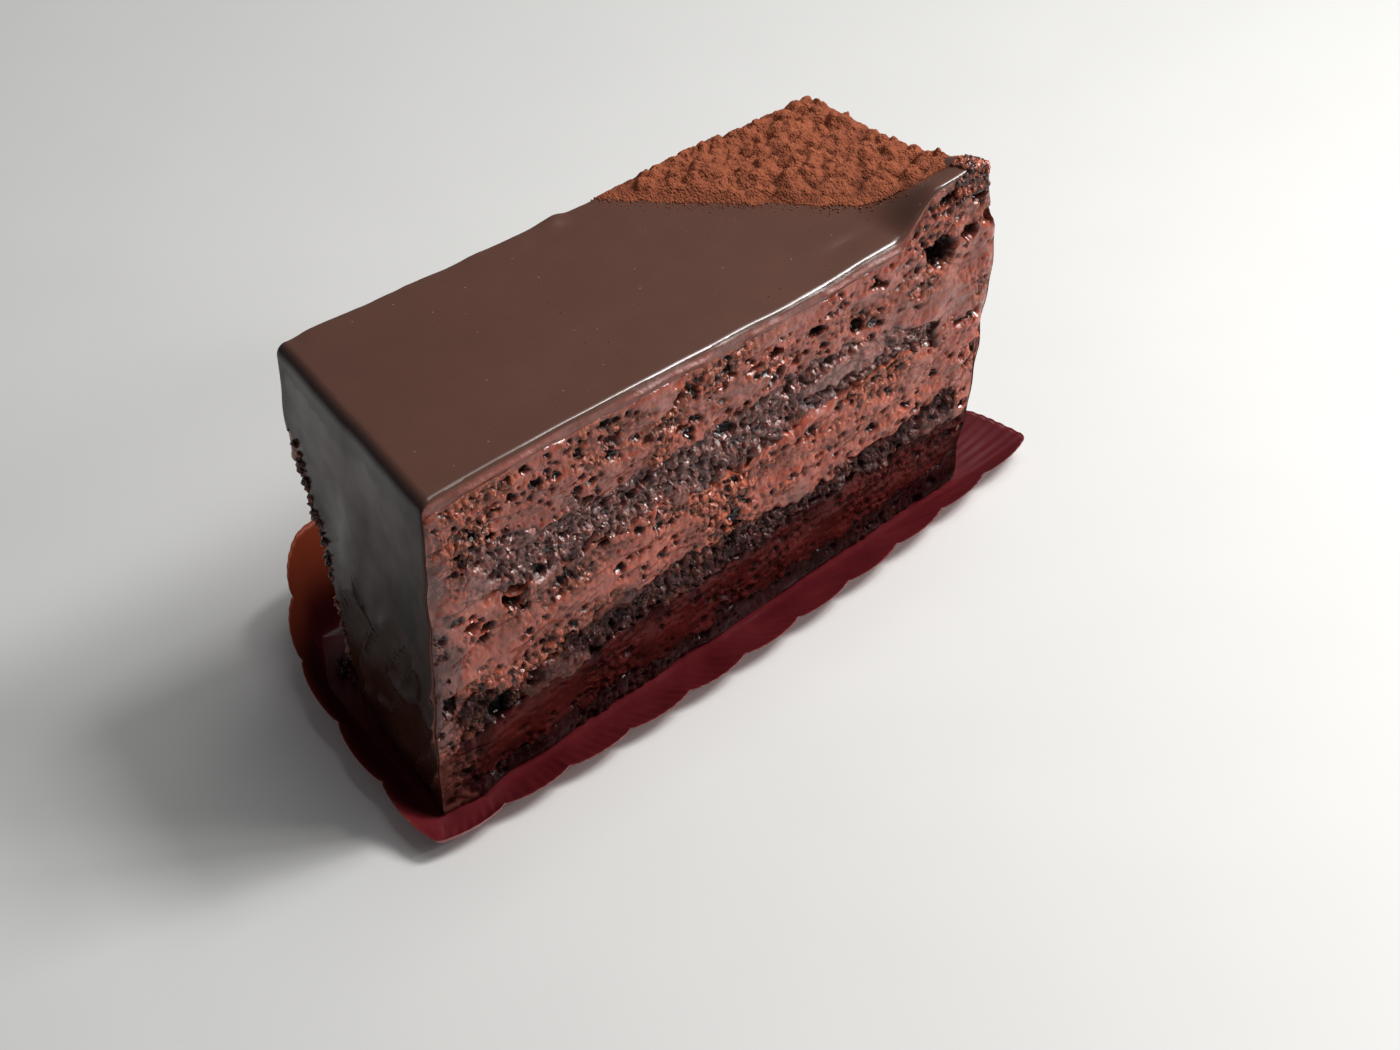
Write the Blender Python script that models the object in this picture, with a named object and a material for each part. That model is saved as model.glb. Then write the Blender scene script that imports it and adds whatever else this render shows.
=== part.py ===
"""A cut slice of chocolate layer cake, standing on a flared paper case with a scalloped edge.

The slice stands on its base with its length along X and its front cut face towards -Y. Both
long faces are cuts that show the layers. A dark glaze covers the top and both ends, and cocoa
powder lies on the back right corner of the top. The origin is the middle of the slice's base,
on the underside of the paper.
"""

import math
import random

import bmesh
import bpy
from mathutils import Vector

MM = 0.001

# Driving dimensions of the slice, in millimetres.
LENGTH = 96.0
FRONT = -17.5
WIDE_END = 36.7
NARROW_END = 30.5
BACK_TOP = 53.5
GAP = 0.3
END_GAP = 0.5
PAPER = 0.45
FOOT = PAPER + GAP

# Heights of the layers along the front cut, at evenly spaced stations from left to right.
TOP = (53.8, 53.6, 52.9, 51.9, 51.2, 51.5, 51.8)
UPPER_SPONGE_TOP = (43.6, 41.2, 38.7, 39.4, 39.9, 36.2, 31.5)
UPPER_SPONGE_FOOT = (35.6, 30.8, 30.6, 28.3, 30.8, 30.7, 29.4)
LOWER_SPONGE_TOP = (19.3, 16.7, 19.8, 18.4, 17.9, 18.8, 20.0)
LOWER_SPONGE_FOOT = (10.4, 11.6, 12.7, 12.7, 12.8, 12.7, 13.4)
BASE_TOP = (3.6, 3.6, 3.6, 3.8, 4.2, 5.0, 5.6)
LAYER_WAVE = 0.7
LAYER_PITCH = 30.0

# How far each end of the slice is off upright, at evenly spaced heights from the foot up.
LEFT_LEAN = (-1.5, -1.3, -0.2, 0.7, 1.6, 2.3)
RIGHT_LEAN = (-2.4, -0.9, 0.9, 1.9, 2.5, 0.7)
LEFT_SKEW = 4.3
RIGHT_SKEW = -4.5

# The glaze, and the hump that it makes over the front right corner.
GLAZE_TOP = 2.6
GLAZE_SIDE = 1.3
GLAZE_ROUNDS = (2.6, 4.0)
GLAZE_FOOT = 2.0
TORN_HEIGHT = 38.0
TORN_START = 0.42
HUMP = 4.7
HUMP_START = 30.5
HUMP_FULL = 39.5
HUMP_DEPTH = 12.0
HUMP_GLAZE = 0.9
HUMP_GAP = 0.6

# How far the mousse reaches in from each end of the slice before a sponge starts.
UPPER_LEG_LEFT = 4.2
UPPER_LEG_RIGHT = 8.5
LOWER_LEG_LEFT = 3.0
LOWER_LEG_RIGHT = 2.6

# The cocoa powder: its pointed left end, the bend in its front edge, and its right end.
COCOA_TIP = (7.5, 0.97)
COCOA_BEND = (36.0, 0.20)
COCOA_END = (45.2, 0.12)
COCOA_BACK = 0.985
COCOA_DEPTH = 2.3
COCOA_RIM = 0.5
COCOA_LUMP = 0.45
COCOA_PITCH = 6.0

# The paper's tips, from the front left round by the right: X, Y and height.
TIPS = (
    (-53.6, -22.0, 3.2),
    (57.4, -20.6, 3.2),
    (50.5, 21.0, 6.5),
    (-40.0, 27.2, 13.8),
    (-50.2, 12.6, 7.0),
)
# The corners of its flat floor, in the same order, and how far each side's edge bows out.
FLOOR = ((-50.2, -18.3), (46.6, -18.3), (42.4, 13.8), (-43.0, 20.2), (-47.4, 12.0))
BOWS = (3.4, -1.8, 3.5, 0.9, 1.2)
SCALLOPS = (11, 4, 9, 2, 3)
SCALLOP_DEPTH = 0.9
SCALLOP_STEPS = 4
LIP_RINGS = (0.3, 0.65, 1.0)
LIP_CURVE = 1.35

# Rounded hollows: centre, half sizes along X, Y and Z, and the layers they cut. They are four
# holes in the front cut, a notch in its right edge, and the crumbled lower back left corner.
HOLLOWS = (
    ((39.6, FRONT, 45.2), (3.0, 4.2, 2.7), ("upper_mousse",)),
    ((-34.6, FRONT, 30.2), (2.0, 2.8, 1.9), ("middle_mousse", "upper_sponge")),
    ((-37.6, FRONT, 13.2), (2.1, 2.6, 2.6), ("lower_sponge", "lower_mousse")),
    ((-44.6, FRONT, 20.6), (1.3, 2.0, 2.2), ("middle_mousse",)),
    ((50.4, FRONT, 47.0), (3.0, 4.5, 1.7), ("glaze", "upper_mousse")),
    (
        (-50.0, 22.0, 2.0),
        (15.0, 20.0, 40.0),
        ("base_sponge", "lower_mousse", "lower_sponge", "middle_mousse"),
    ),
)

# Relief of the cut faces.
CRAG_DEPTH = 0.4
CRAG_PITCH = 9.0

# Segments of the meshes.
ALONG = 32
ACROSS = 5
TOP_ACROSS = 8
SIDE_STEPS = 8
CORNER_STEPS = 3


def waves(seed, pitch, count=5):
    """A smooth uneven function of two coordinates, from about -1 to 1."""
    draw = random.Random(seed)
    terms = []
    for _ in range(count):
        turn = draw.uniform(0.0, math.tau)
        rate = math.tau / (pitch * draw.uniform(0.7, 1.5))
        terms.append((rate * math.cos(turn), rate * math.sin(turn), draw.uniform(0.0, math.tau)))

    def height(a, b):
        return sum(math.sin(p * a + q * b + start) for p, q, start in terms) / math.sqrt(2.0 * count)

    return height


front_crag = waves(11, CRAG_PITCH)
back_crag = waves(12, CRAG_PITCH)
layer_wave = waves(13, LAYER_PITCH)
cocoa_lump = waves(14, COCOA_PITCH)
torn_edge = waves(15, 5.0)


def mix(a, b, share):
    return a + (b - a) * share


def ease(value, start, end):
    """0 before start and 1 after end, with a smooth rise between them."""
    share = min(max((value - start) / (end - start), 0.0), 1.0)
    return share * share * (3.0 - 2.0 * share)


def spline(values, share):
    """A smooth curve through evenly spaced values, for a share from 0 to 1."""
    spot = min(max(share, 0.0), 1.0) * (len(values) - 1)
    index = min(int(spot), len(values) - 2)
    t = spot - index
    before, start, end, after = (
        values[max(index - 1, 0)],
        values[index],
        values[index + 1],
        values[min(index + 2, len(values) - 1)],
    )
    straight = 2.0 * start + (end - before) * t
    bend = (2.0 * before - 5.0 * start + 4.0 * end - after) * t * t
    twist = (3.0 * start - before - 3.0 * end + after) * t * t * t
    return 0.5 * (straight + bend + twist)


def share_along(s):
    return (s + LENGTH / 2.0) / LENGTH


def width_at(s):
    return mix(WIDE_END, NARROW_END, share_along(s))


def layer(stations):
    """The height of a border between two layers, over the length s and the share t of the width."""

    def height(s, t):
        return spline(stations, share_along(s)) + LAYER_WAVE * t * layer_wave(s, 40.0 * t)

    return height


def hump(s, t):
    rise = ease(s, HUMP_START, HUMP_FULL)
    return rise * (1.0 - ease(t * width_at(s), 0.0, HUMP_DEPTH))


def top(s, t):
    return mix(spline(TOP, share_along(s)), BACK_TOP, t) + HUMP * hump(s, t)


def glaze_depth(s, t):
    return mix(GLAZE_TOP, HUMP_GLAZE, hump(s, t))


def under_glaze(s, t):
    """The mousse under the glaze, which keeps a wider gap where the hump bends it."""
    return top(s, t) - glaze_depth(s, t) - mix(GAP, HUMP_GAP, ease(s, HUMP_START - 3.0, HUMP_START))


def above(height, lift=GAP / 2.0):
    return lambda s, t: height(s, t) + lift


def below(height, drop=GAP / 2.0):
    return lambda s, t: height(s, t) - drop


base_top = layer(BASE_TOP)
lower_foot = layer(LOWER_SPONGE_FOOT)
lower_top = layer(LOWER_SPONGE_TOP)
upper_foot = layer(UPPER_SPONGE_FOOT)
upper_top = layer(UPPER_SPONGE_TOP)


def settle(s, t, z):
    """The place of a point of the upright, straight slice once it leans, tapers and crumbles."""
    rise = z / BACK_TOP
    left = spline(LEFT_LEAN, rise) + LEFT_SKEW * t
    right = spline(RIGHT_LEAN, rise) + RIGHT_SKEW * t
    x = s + mix(left, right, share_along(s))
    crumble = front_crag(s, z) * (1.0 - t) ** 4 - back_crag(s, z) * t**4
    y = FRONT + t * width_at(s) + CRAG_DEPTH * crumble
    return Vector((x, y, z)) * MM


def material(name, colour, roughness):
    made = bpy.data.materials.new(name)
    made.diffuse_color = (*colour, 1.0)
    made.use_nodes = True
    shader = made.node_tree.nodes["Principled BSDF"]
    shader.inputs["Base Color"].default_value = (*colour, 1.0)
    shader.inputs["Roughness"].default_value = roughness
    shader.inputs["Metallic"].default_value = 0.0
    return made


def finish(bm, name, look):
    bm.normal_update()
    bmesh.ops.recalc_face_normals(bm, faces=bm.faces)
    mesh = bpy.data.meshes.new(name)
    bm.to_mesh(mesh)
    bm.free()
    mesh.shade_smooth()
    mesh.set_sharp_from_angle(angle=math.radians(40.0))
    mesh.materials.append(look)
    made = bpy.data.objects.new(name, mesh)
    bpy.context.scene.collection.objects.link(made)
    return made


def block(name, look, along, across, up, place):
    """A closed block of along, across and up segments, bent by place(u, v, w) with shares from 0 to 1."""
    bm = bmesh.new()
    bmesh.ops.create_grid(bm, x_segments=along, y_segments=up, size=0.5)
    sheet = bm.faces[:]
    for step in range(across):
        grown = bmesh.ops.extrude_face_region(bm, geom=sheet)["geom"]
        if step > 0:
            bmesh.ops.delete(bm, geom=sheet, context="FACES_ONLY")
        sheet = [part for part in grown if isinstance(part, bmesh.types.BMFace)]
        for part in grown:
            if isinstance(part, bmesh.types.BMVert):
                part.co.z += 1.0
    for corner in bm.verts:
        corner.co = place(corner.co.x + 0.5, corner.co.z / across, corner.co.y + 0.5)
    return finish(bm, name, look)


def slab(name, look, left, right, bottom, cover, up=3):
    """A layer that lies flat between two heights."""

    def place(u, v, w):
        s = mix(left, right, u)
        return settle(s, v, mix(bottom(s, v), cover(s, v), w))

    return block(name, look, ALONG, ACROSS, up, place)


def arch_path(left, right, cover, foot_left, foot_right, radii):
    """A path up the left side, over the top and down the right side, as a function of u and t."""
    steps = 2 * (SIDE_STEPS + CORNER_STEPS) + ALONG
    side = SIDE_STEPS / steps
    corner = CORNER_STEPS / steps

    def half(u, t, end, inward, foot, radius):
        centre = end + inward * radius
        shoulder = cover(centre, t) - radius
        if u <= side:
            return end, mix(foot(end, t), shoulder, u / side)
        turn = math.pi / 2.0 * (u - side) / corner
        return centre - inward * radius * math.cos(turn), shoulder + radius * math.sin(turn)

    def path(u, t):
        if u <= side + corner:
            return half(u, t, left, 1.0, foot_left, radii[0])
        if u >= 1.0 - side - corner:
            return half(1.0 - u, t, right, -1.0, foot_right, radii[1])
        share = (u - side - corner) / (1.0 - 2.0 * (side + corner))
        s = mix(left + radii[0], right - radii[1], share)
        return s, cover(s, t)

    return path


def arch(name, look, inner, outer, up, across=ACROSS):
    """A layer that lies over the one below and comes down at both ends."""

    def place(u, v, w):
        inner_s, inner_z = inner(u, v)
        outer_s, outer_z = outer(u, v)
        return settle(mix(inner_s, outer_s, w), v, mix(inner_z, outer_z, w))

    return block(name, look, 2 * (SIDE_STEPS + CORNER_STEPS) + ALONG, across, up, place)


def make_layers():
    mousse = material("mousse", (0.20, 0.062, 0.042), 0.45)
    sponge = material("sponge", (0.028, 0.014, 0.013), 0.6)
    end = LENGTH / 2.0
    skin = GLAZE_SIDE + END_GAP
    inner_rounds = [radius - GLAZE_SIDE for radius in GLAZE_ROUNDS]
    left, right = -end + skin, end - skin
    slab("base_sponge", sponge, left, right, lambda s, t: FOOT, below(base_top), up=1)
    slab("lower_mousse", mousse, left, right, above(base_top), below(lower_foot))
    slab(
        "lower_sponge", sponge, -end + LOWER_LEG_LEFT + GAP, end - LOWER_LEG_RIGHT - GAP,
        above(lower_foot), below(lower_top),
    )
    slab(
        "upper_sponge", sponge, -end + UPPER_LEG_LEFT + GAP, end - UPPER_LEG_RIGHT - GAP,
        above(upper_foot), below(upper_top),
    )
    arch(
        "middle_mousse", mousse,
        arch_path(
            -end + LOWER_LEG_LEFT, end - LOWER_LEG_RIGHT, above(lower_top),
            above(lower_foot), above(lower_foot), (0.2, 0.2),
        ),
        arch_path(left, right, below(upper_foot), above(lower_foot), above(lower_foot), (0.4, 0.4)),
        up=3,
    )
    arch(
        "upper_mousse", mousse,
        arch_path(
            -end + UPPER_LEG_LEFT, end - UPPER_LEG_RIGHT, above(upper_top),
            above(upper_foot), above(upper_foot), (0.2, 0.2),
        ),
        arch_path(left, right, under_glaze, above(upper_foot), above(upper_foot), inner_rounds),
        up=3,
        across=TOP_ACROSS,
    )


def glaze_foot_left(s, t):
    torn = ease(t, TORN_START, 1.0)
    return GLAZE_FOOT + TORN_HEIGHT * torn + 1.6 * torn * torn_edge(40.0 * t, 0.0)


def glaze_foot_right(s, t):
    return FOOT + GLAZE_FOOT + 0.8 * torn_edge(40.0 * t, 20.0)


def make_glaze():
    look = material("glaze", (0.045, 0.021, 0.016), 0.18)
    end = LENGTH / 2.0

    def inner_cover(s, t):
        return top(s, t) - glaze_depth(s, t)

    arch(
        "glaze", look,
        arch_path(
            -end + GLAZE_SIDE, end - GLAZE_SIDE, inner_cover,
            glaze_foot_left, glaze_foot_right, [radius - GLAZE_SIDE for radius in GLAZE_ROUNDS],
        ),
        arch_path(-end, end, top, glaze_foot_left, glaze_foot_right, GLAZE_ROUNDS),
        up=1,
        across=TOP_ACROSS,
    )


def cocoa_front(s):
    """The share of the width at which the powder starts, a little uneven along its length."""
    if s < COCOA_BEND[0]:
        share = (s - COCOA_TIP[0]) / (COCOA_BEND[0] - COCOA_TIP[0])
        return mix(COCOA_TIP[1], COCOA_BEND[1], share) + 0.02 * cocoa_lump(s, 0.0) * share
    share = (s - COCOA_BEND[0]) / (COCOA_END[0] - COCOA_BEND[0])
    return mix(COCOA_BEND[1], COCOA_END[1], share)


def make_cocoa():
    look = material("cocoa", (0.22, 0.058, 0.028), 0.9)

    def place(u, v, w):
        s = mix(COCOA_TIP[0], COCOA_END[0], u)
        t = mix(min(cocoa_front(s), COCOA_BACK - 0.03), COCOA_BACK, v)
        swell = math.sin(math.pi * v) ** 0.5 * ease(u, -0.1, 0.25)
        depth = COCOA_RIM + swell * (COCOA_DEPTH - COCOA_RIM + COCOA_LUMP * cocoa_lump(s, t * 32.0))
        return settle(s, t, top(s, t) + GAP + w * depth)

    return block("cocoa_powder", look, 24, 11, 1, place)


def paper_rim(side, share):
    """A point of the scalloped edge of one side of the paper, with its height."""
    ends = (Vector(TIPS[side]), Vector(TIPS[(side + 1) % len(TIPS)]))
    run = (ends[1] - ends[0]).normalized()
    outward = Vector((run.y, -run.x, 0.0)).normalized()
    lobe = abs(math.sin(math.pi * SCALLOPS[side] * share)) ** 0.6
    bow = BOWS[side] * 4.0 * share * (1.0 - share)
    return ends[0].lerp(ends[1], share) + outward * (bow + SCALLOP_DEPTH * lobe)


def paper_loop():
    """The floor's edge and the rim beside it, right round the case."""
    for side, corner in enumerate(FLOOR):
        start, end = Vector(corner), Vector(FLOOR[(side + 1) % len(FLOOR)])
        steps = SCALLOPS[side] * SCALLOP_STEPS
        for step in range(steps):
            yield start.lerp(end, step / steps).to_3d(), paper_rim(side, step / steps)


def make_paper():
    look = material("paper", (0.11, 0.012, 0.012), 0.35)
    bm = bmesh.new()
    under, over = [[]], [[]]
    for foot, rim in paper_loop():
        under[0].append(bm.verts.new(foot * MM))
        inward = (foot - rim).to_2d().normalized().to_3d() * PAPER
        over[0].append(bm.verts.new((foot + inward + Vector((0.0, 0.0, PAPER))) * MM))
    for ring in LIP_RINGS:
        under.append([])
        over.append([])
        for foot, rim in paper_loop():
            spot = foot.lerp(rim, ring)
            spot.z = rim.z * ring**LIP_CURVE
            steep = rim.z / (rim - foot).length
            inward = (foot - rim).to_2d().normalized().to_3d() * PAPER * steep
            raised = Vector((0.0, 0.0, PAPER * math.sqrt(max(1.0 - steep * steep, 0.2))))
            under[-1].append(bm.verts.new(spot * MM))
            over[-1].append(bm.verts.new((spot + inward + raised) * MM))
    count = len(under[0])
    for sheet in (under, over):
        bm.faces.new(sheet[0])
        for inner, outer in zip(sheet, sheet[1:]):
            for i in range(count):
                bm.faces.new((inner[i], inner[(i + 1) % count], outer[(i + 1) % count], outer[i]))
    for i in range(count):
        bm.faces.new((under[-1][i], under[-1][(i + 1) % count], over[-1][(i + 1) % count], over[-1][i]))
    return finish(bm, "paper_case", look)


def cut_hollows():
    """Rounds the hollows out of the layers with hidden balls."""
    for index, (centre, halves, layers) in enumerate(HOLLOWS):
        bm = bmesh.new()
        bmesh.ops.create_icosphere(bm, subdivisions=2, radius=1.0)
        bmesh.ops.scale(bm, vec=Vector(halves) * MM, verts=bm.verts)
        bmesh.ops.translate(bm, vec=Vector(centre) * MM, verts=bm.verts)
        ball = finish(bm, f"hollow_{index}", bpy.data.materials["mousse"])
        ball.hide_render = True
        ball.display_type = "WIRE"
        for name in layers:
            cut = bpy.data.objects[name].modifiers.new(ball.name, "BOOLEAN")
            cut.operation = "DIFFERENCE"
            cut.solver = "EXACT"
            cut.object = ball


def main():
    for old in list(bpy.data.objects):
        bpy.data.objects.remove(old)
    make_layers()
    make_glaze()
    make_cocoa()
    make_paper()
    cut_hollows()


main()
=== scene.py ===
# %% [markdown]
# # A slice of chocolate cake
#
# The slice is cut from a layered cake: dark sponge and chocolate mousse, a glossy glaze over the
# top and the ends, and cocoa powder on one corner. It stands on a dark red paper case. The solids
# of the model hold the size and the place of every layer. This lesson gives each layer the
# surface that a spoon would meet: bubbles, crumbs, smears, a rounded rim of glaze, dry powder.

import math
import random

import bpy
import numpy as np
from mathutils import Matrix, Vector


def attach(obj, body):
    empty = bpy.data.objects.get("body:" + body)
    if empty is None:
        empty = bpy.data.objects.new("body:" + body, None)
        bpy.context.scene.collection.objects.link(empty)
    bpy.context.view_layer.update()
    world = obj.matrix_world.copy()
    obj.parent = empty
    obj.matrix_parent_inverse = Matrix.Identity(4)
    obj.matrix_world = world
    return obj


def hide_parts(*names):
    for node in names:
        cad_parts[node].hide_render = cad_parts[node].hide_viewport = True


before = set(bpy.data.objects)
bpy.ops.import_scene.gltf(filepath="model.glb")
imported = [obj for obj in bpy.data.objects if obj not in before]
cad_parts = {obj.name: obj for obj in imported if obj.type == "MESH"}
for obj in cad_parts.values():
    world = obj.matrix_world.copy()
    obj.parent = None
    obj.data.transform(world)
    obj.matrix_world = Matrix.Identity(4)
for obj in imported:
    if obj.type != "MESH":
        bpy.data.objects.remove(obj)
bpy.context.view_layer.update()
MM = 0.001
print("solids:", sorted(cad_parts))

# %% [markdown]
# ## The camera
#
# A camera can be placed by eye, or worked out from the picture. Here the slice's straight cuts
# and the round plate gave the position, the tilt and the lens, so the render lines up with the
# picture. The camera is turned a little about its own axis, as a hand-held one is.

# %% Camera
# Places are in millimetres, turns in degrees.
IMAGE_WIDTH = 1400
FOCAL_PIXELS = 2192.15
CAMERA_PLACE = (-137.358, -177.451, 225.540)
CAMERA_AZIMUTH = -39.768
CAMERA_ELEVATION = 44.159
CAMERA_ROLL = -2.251


def direction(azimuth, elevation):
    """A unit vector: azimuth turns from the front to the right, elevation rises from the table."""
    flat = math.cos(elevation)
    return Vector((math.sin(azimuth) * flat, -math.cos(azimuth) * flat, math.sin(elevation)))


def make_camera():
    azimuth, elevation, roll = map(math.radians, (CAMERA_AZIMUTH, CAMERA_ELEVATION, CAMERA_ROLL))
    back = direction(azimuth, elevation)
    level = Vector((0.0, 0.0, 1.0)).cross(back).normalized()
    upright = back.cross(level)
    right = level * math.cos(roll) + upright * math.sin(roll)
    up = upright * math.cos(roll) - level * math.sin(roll)
    data = bpy.data.cameras.new("camera")
    data.lens = FOCAL_PIXELS / IMAGE_WIDTH * data.sensor_width
    made = bpy.data.objects.new("camera", data)
    bpy.context.scene.collection.objects.link(made)
    turned = Matrix((right, up, back)).transposed().to_4x4()
    made.matrix_world = Matrix.Translation(Vector(CAMERA_PLACE) * MM) @ turned
    bpy.context.scene.camera = made
    return made


camera = make_camera()
print(f"lens {camera.data.lens:.1f} mm")

# %% [markdown]
# ## Uneven surfaces from numbers
#
# Food is uneven at every size. A sculptor would press that in by hand. Numbers can do the same
# and stay repeatable: a smooth random field for swells, a field of cells for crumbs, and round
# pits for bubbles. Each one is worked out for a whole array of points at once.

# %% Fields of numbers


def mix(a, b, share):
    return a + (b - a) * share


def ease(value, start, end):
    """0 before start and 1 after end, with a smooth rise between them."""
    share = np.clip((value - start) / (end - start), 0.0, 1.0)
    return share * share * (3.0 - 2.0 * share)


def lot(i, j, seed):
    """A fixed random share from 0 to 1 for each whole-numbered cell, by mixing the bits of i, j and seed."""
    bits = (i.astype(np.int64) * 73856093) ^ (j.astype(np.int64) * 19349663) ^ (seed * 83492791)
    bits = bits & 0xFFFFFFFF
    for _ in range(2):
        bits = ((bits ^ (bits >> 16)) * 0x45D9F3B) & 0xFFFFFFFF
    return ((bits ^ (bits >> 16)) & 0xFFFFFF) / float(0xFFFFFF)


def swell(a, b, pitch, seed):
    """Random heights from -1 to 1 on a square lattice of this pitch, blended smoothly in between."""
    p, q = a / pitch, b / pitch
    i, j = np.floor(p), np.floor(q)
    x, y = p - i, q - j
    x = x * x * x * (x * (x * 6.0 - 15.0) + 10.0)
    y = y * y * y * (y * (y * 6.0 - 15.0) + 10.0)
    low = mix(lot(i, j, seed), lot(i + 1, j, seed), x)
    high = mix(lot(i, j + 1, seed), lot(i + 1, j + 1, seed), x)
    return 2.0 * mix(low, high, y) - 1.0


def rough(a, b, pitch, seed, octaves=3):
    """Swells of halving pitch and halving height, added up."""
    total = sum(swell(a, b, pitch * 0.5**k, seed + k) * 0.5**k for k in range(octaves))
    return total / (2.0 - 0.5 ** (octaves - 1))


def cells(a, b, pitch, seed):
    """The distance to the nearest of the points scattered one to a cell, and to the next, in pitches.

    The third array is the nearest cell's own random share.
    """
    p, q = a / pitch, b / pitch
    i, j = np.floor(p), np.floor(q)
    near = np.full(np.shape(p), 9.0)
    after = near.copy()
    share = np.zeros(np.shape(p))
    for di in (-1, 0, 1):
        for dj in (-1, 0, 1):
            x = i + di + 0.1 + 0.8 * lot(i + di, j + dj, seed)
            y = j + dj + 0.1 + 0.8 * lot(i + di, j + dj, seed + 1)
            gap = np.hypot(p - x, q - y)
            share = np.where(gap < near, lot(i + di, j + dj, seed + 2), share)
            after = np.minimum(after, np.maximum(near, gap))
            near = np.minimum(near, gap)
    return near, after, share


def pits(a, b, pitch, seed, chance, small, large):
    """The depth of round pits. A cell holds one with this chance, a number or a field of its place."""
    i, j = np.floor(a / pitch), np.floor(b / pitch)
    deepest = np.zeros(np.shape(a))
    for di in (-1, 0, 1):
        for dj in (-1, 0, 1):
            ci, cj = i + di, j + dj
            x = (ci + 0.15 + 0.7 * lot(ci, cj, seed)) * pitch
            y = (cj + 0.15 + 0.7 * lot(ci, cj, seed + 1)) * pitch
            radius = mix(small, large, lot(ci, cj, seed + 2) ** 2)
            odds = chance(x, y) if callable(chance) else chance
            radius = radius * (lot(ci, cj, seed + 3) < odds)
            depth = np.sqrt(np.maximum(radius**2 - (a - x) ** 2 - (b - y) ** 2, 0.0))
            deepest = np.maximum(deepest, depth)
    return deepest


def bell(value, middle, width):
    """1 at the middle, falling off smoothly on both sides."""
    return np.exp(-(((value - middle) / width) ** 2))


def waves(seed, pitch, count=5):
    """A smooth uneven function of two coordinates: a few sine waves in drawn directions."""
    draw = random.Random(seed)
    terms = []
    for _ in range(count):
        turn = draw.uniform(0.0, math.tau)
        rate = math.tau / (pitch * draw.uniform(0.7, 1.5))
        terms.append((rate * math.cos(turn), rate * math.sin(turn), draw.uniform(0.0, math.tau)))

    def height(a, b):
        return sum(np.sin(p * a + q * b + start) for p, q, start in terms) / math.sqrt(2.0 * count)

    return height


spots = np.linspace(0.0, 60.0, 600)
heights = rough(spots, spots, 6.0, 1)
print(f"rough heights run from {heights.min():.2f} to {heights.max():.2f}")

# %% [markdown]
# ## The shape of the slice
#
# Every layer is first thought of in a straight, upright slice: s runs along it, t is the share of
# its width from the front cut to the back cut, and z is the height. One function then leans and
# tapers everything, so the layers always fit each other. These lengths repeat the solids' own,
# apart from small corrections of the hump at the front right corner.

# %% The straight slice, and how it settles
LENGTH = 96.0
FRONT = -17.5
WIDE_END = 36.7
NARROW_END = 30.5
BACK_TOP = 53.5
MID_WIDTH = 33.6
# Random fields across the slice take the share t times this many millimetres.
ACROSS = 40.0
PAPER = 0.45
# Heights along the front cut, at evenly spaced stations from left to right.
TOP = (53.8, 53.6, 52.9, 51.9, 51.2, 51.5, 51.8)
UPPER_SPONGE_TOP = (43.6, 41.2, 38.7, 39.4, 39.9, 36.2, 31.5)
UPPER_SPONGE_FOOT = (35.6, 30.8, 30.6, 28.3, 30.8, 30.7, 29.4)
LOWER_SPONGE_TOP = (19.3, 16.7, 19.8, 18.4, 17.9, 18.8, 20.0)
LOWER_SPONGE_FOOT = (10.4, 11.6, 12.7, 12.7, 12.8, 12.7, 13.4)
BASE_TOP = (3.6, 3.6, 3.6, 3.8, 4.2, 5.0, 5.6)
LAYER_WAVE = 0.7
# How far each end is off upright, at evenly spaced heights from the foot up.
LEFT_LEAN = (-1.5, -1.3, -0.2, 0.7, 1.6, 2.3)
RIGHT_LEAN = (-2.4, -0.9, 0.9, 1.9, 2.5, 0.7)
LEFT_SKEW = 4.3
RIGHT_SKEW = -4.5
# The glaze, its torn edge and its hump.
GLAZE_TOP = 2.6
GLAZE_SIDE = 1.3
SHOULDER = 3.0
GLAZE_ROUNDS = (1.7, SHOULDER)
GLAZE_FOOT = 2.0
TORN_HEIGHT = 38.0
TORN_START = 0.42
HUMP = 4.7
HUMP_START = 30.0
HUMP_FULL = 38.6
HUMP_DEPTH = 9.5
HUMP_GLAZE = 0.9
# The unevenness of the cuts, and how far behind them their relief fades out.
CRAG_DEPTH = 0.4
FADE = 8.0
HALF = LENGTH / 2.0

# %% Curves along the slice
front_crag = waves(11, 9.0)
back_crag = waves(12, 9.0)
layer_wave = waves(13, 30.0)
cocoa_lump = waves(14, 6.0)
torn_edge = waves(15, 5.0)


def spline(values, share):
    """A smooth curve through evenly spaced values (Catmull and Rom's cubic), for shares from 0 to 1."""
    values = np.asarray(values)
    last = len(values) - 1
    spot = np.clip(share, 0.0, 1.0) * last
    index = np.minimum(spot.astype(int), last - 1)
    t = spot - index
    before, start = values[np.maximum(index - 1, 0)], values[index]
    end, after = values[index + 1], values[np.minimum(index + 2, last)]
    bend = (2.0 * before - 5.0 * start + 4.0 * end - after) * t**2
    twist = (3.0 * start - before - 3.0 * end + after) * t**3
    return 0.5 * (2.0 * start + (end - before) * t + bend + twist)


def share_along(s):
    return (s + HALF) / LENGTH


def width_at(s):
    return mix(WIDE_END, NARROW_END, share_along(s))


def border(stations, seed):
    """The height of the border between two layers, ragged by crumbs of about 1 to 3 mm."""

    def height(s, t):
        y = ACROSS * t
        smooth = spline(stations, share_along(s)) + LAYER_WAVE * t * layer_wave(s, y)
        return smooth + 0.95 * swell(s, y, 2.9, seed) + 0.5 * swell(s, y, 1.1, seed + 1)

    return height


def hump(s, t):
    rise = ease(s, HUMP_START, HUMP_FULL)
    return rise * (1.0 - ease(t * width_at(s), 0.8, HUMP_DEPTH))


def top(s, t):
    return mix(spline(TOP, share_along(s)), BACK_TOP, t) + HUMP * hump(s, t)


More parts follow.
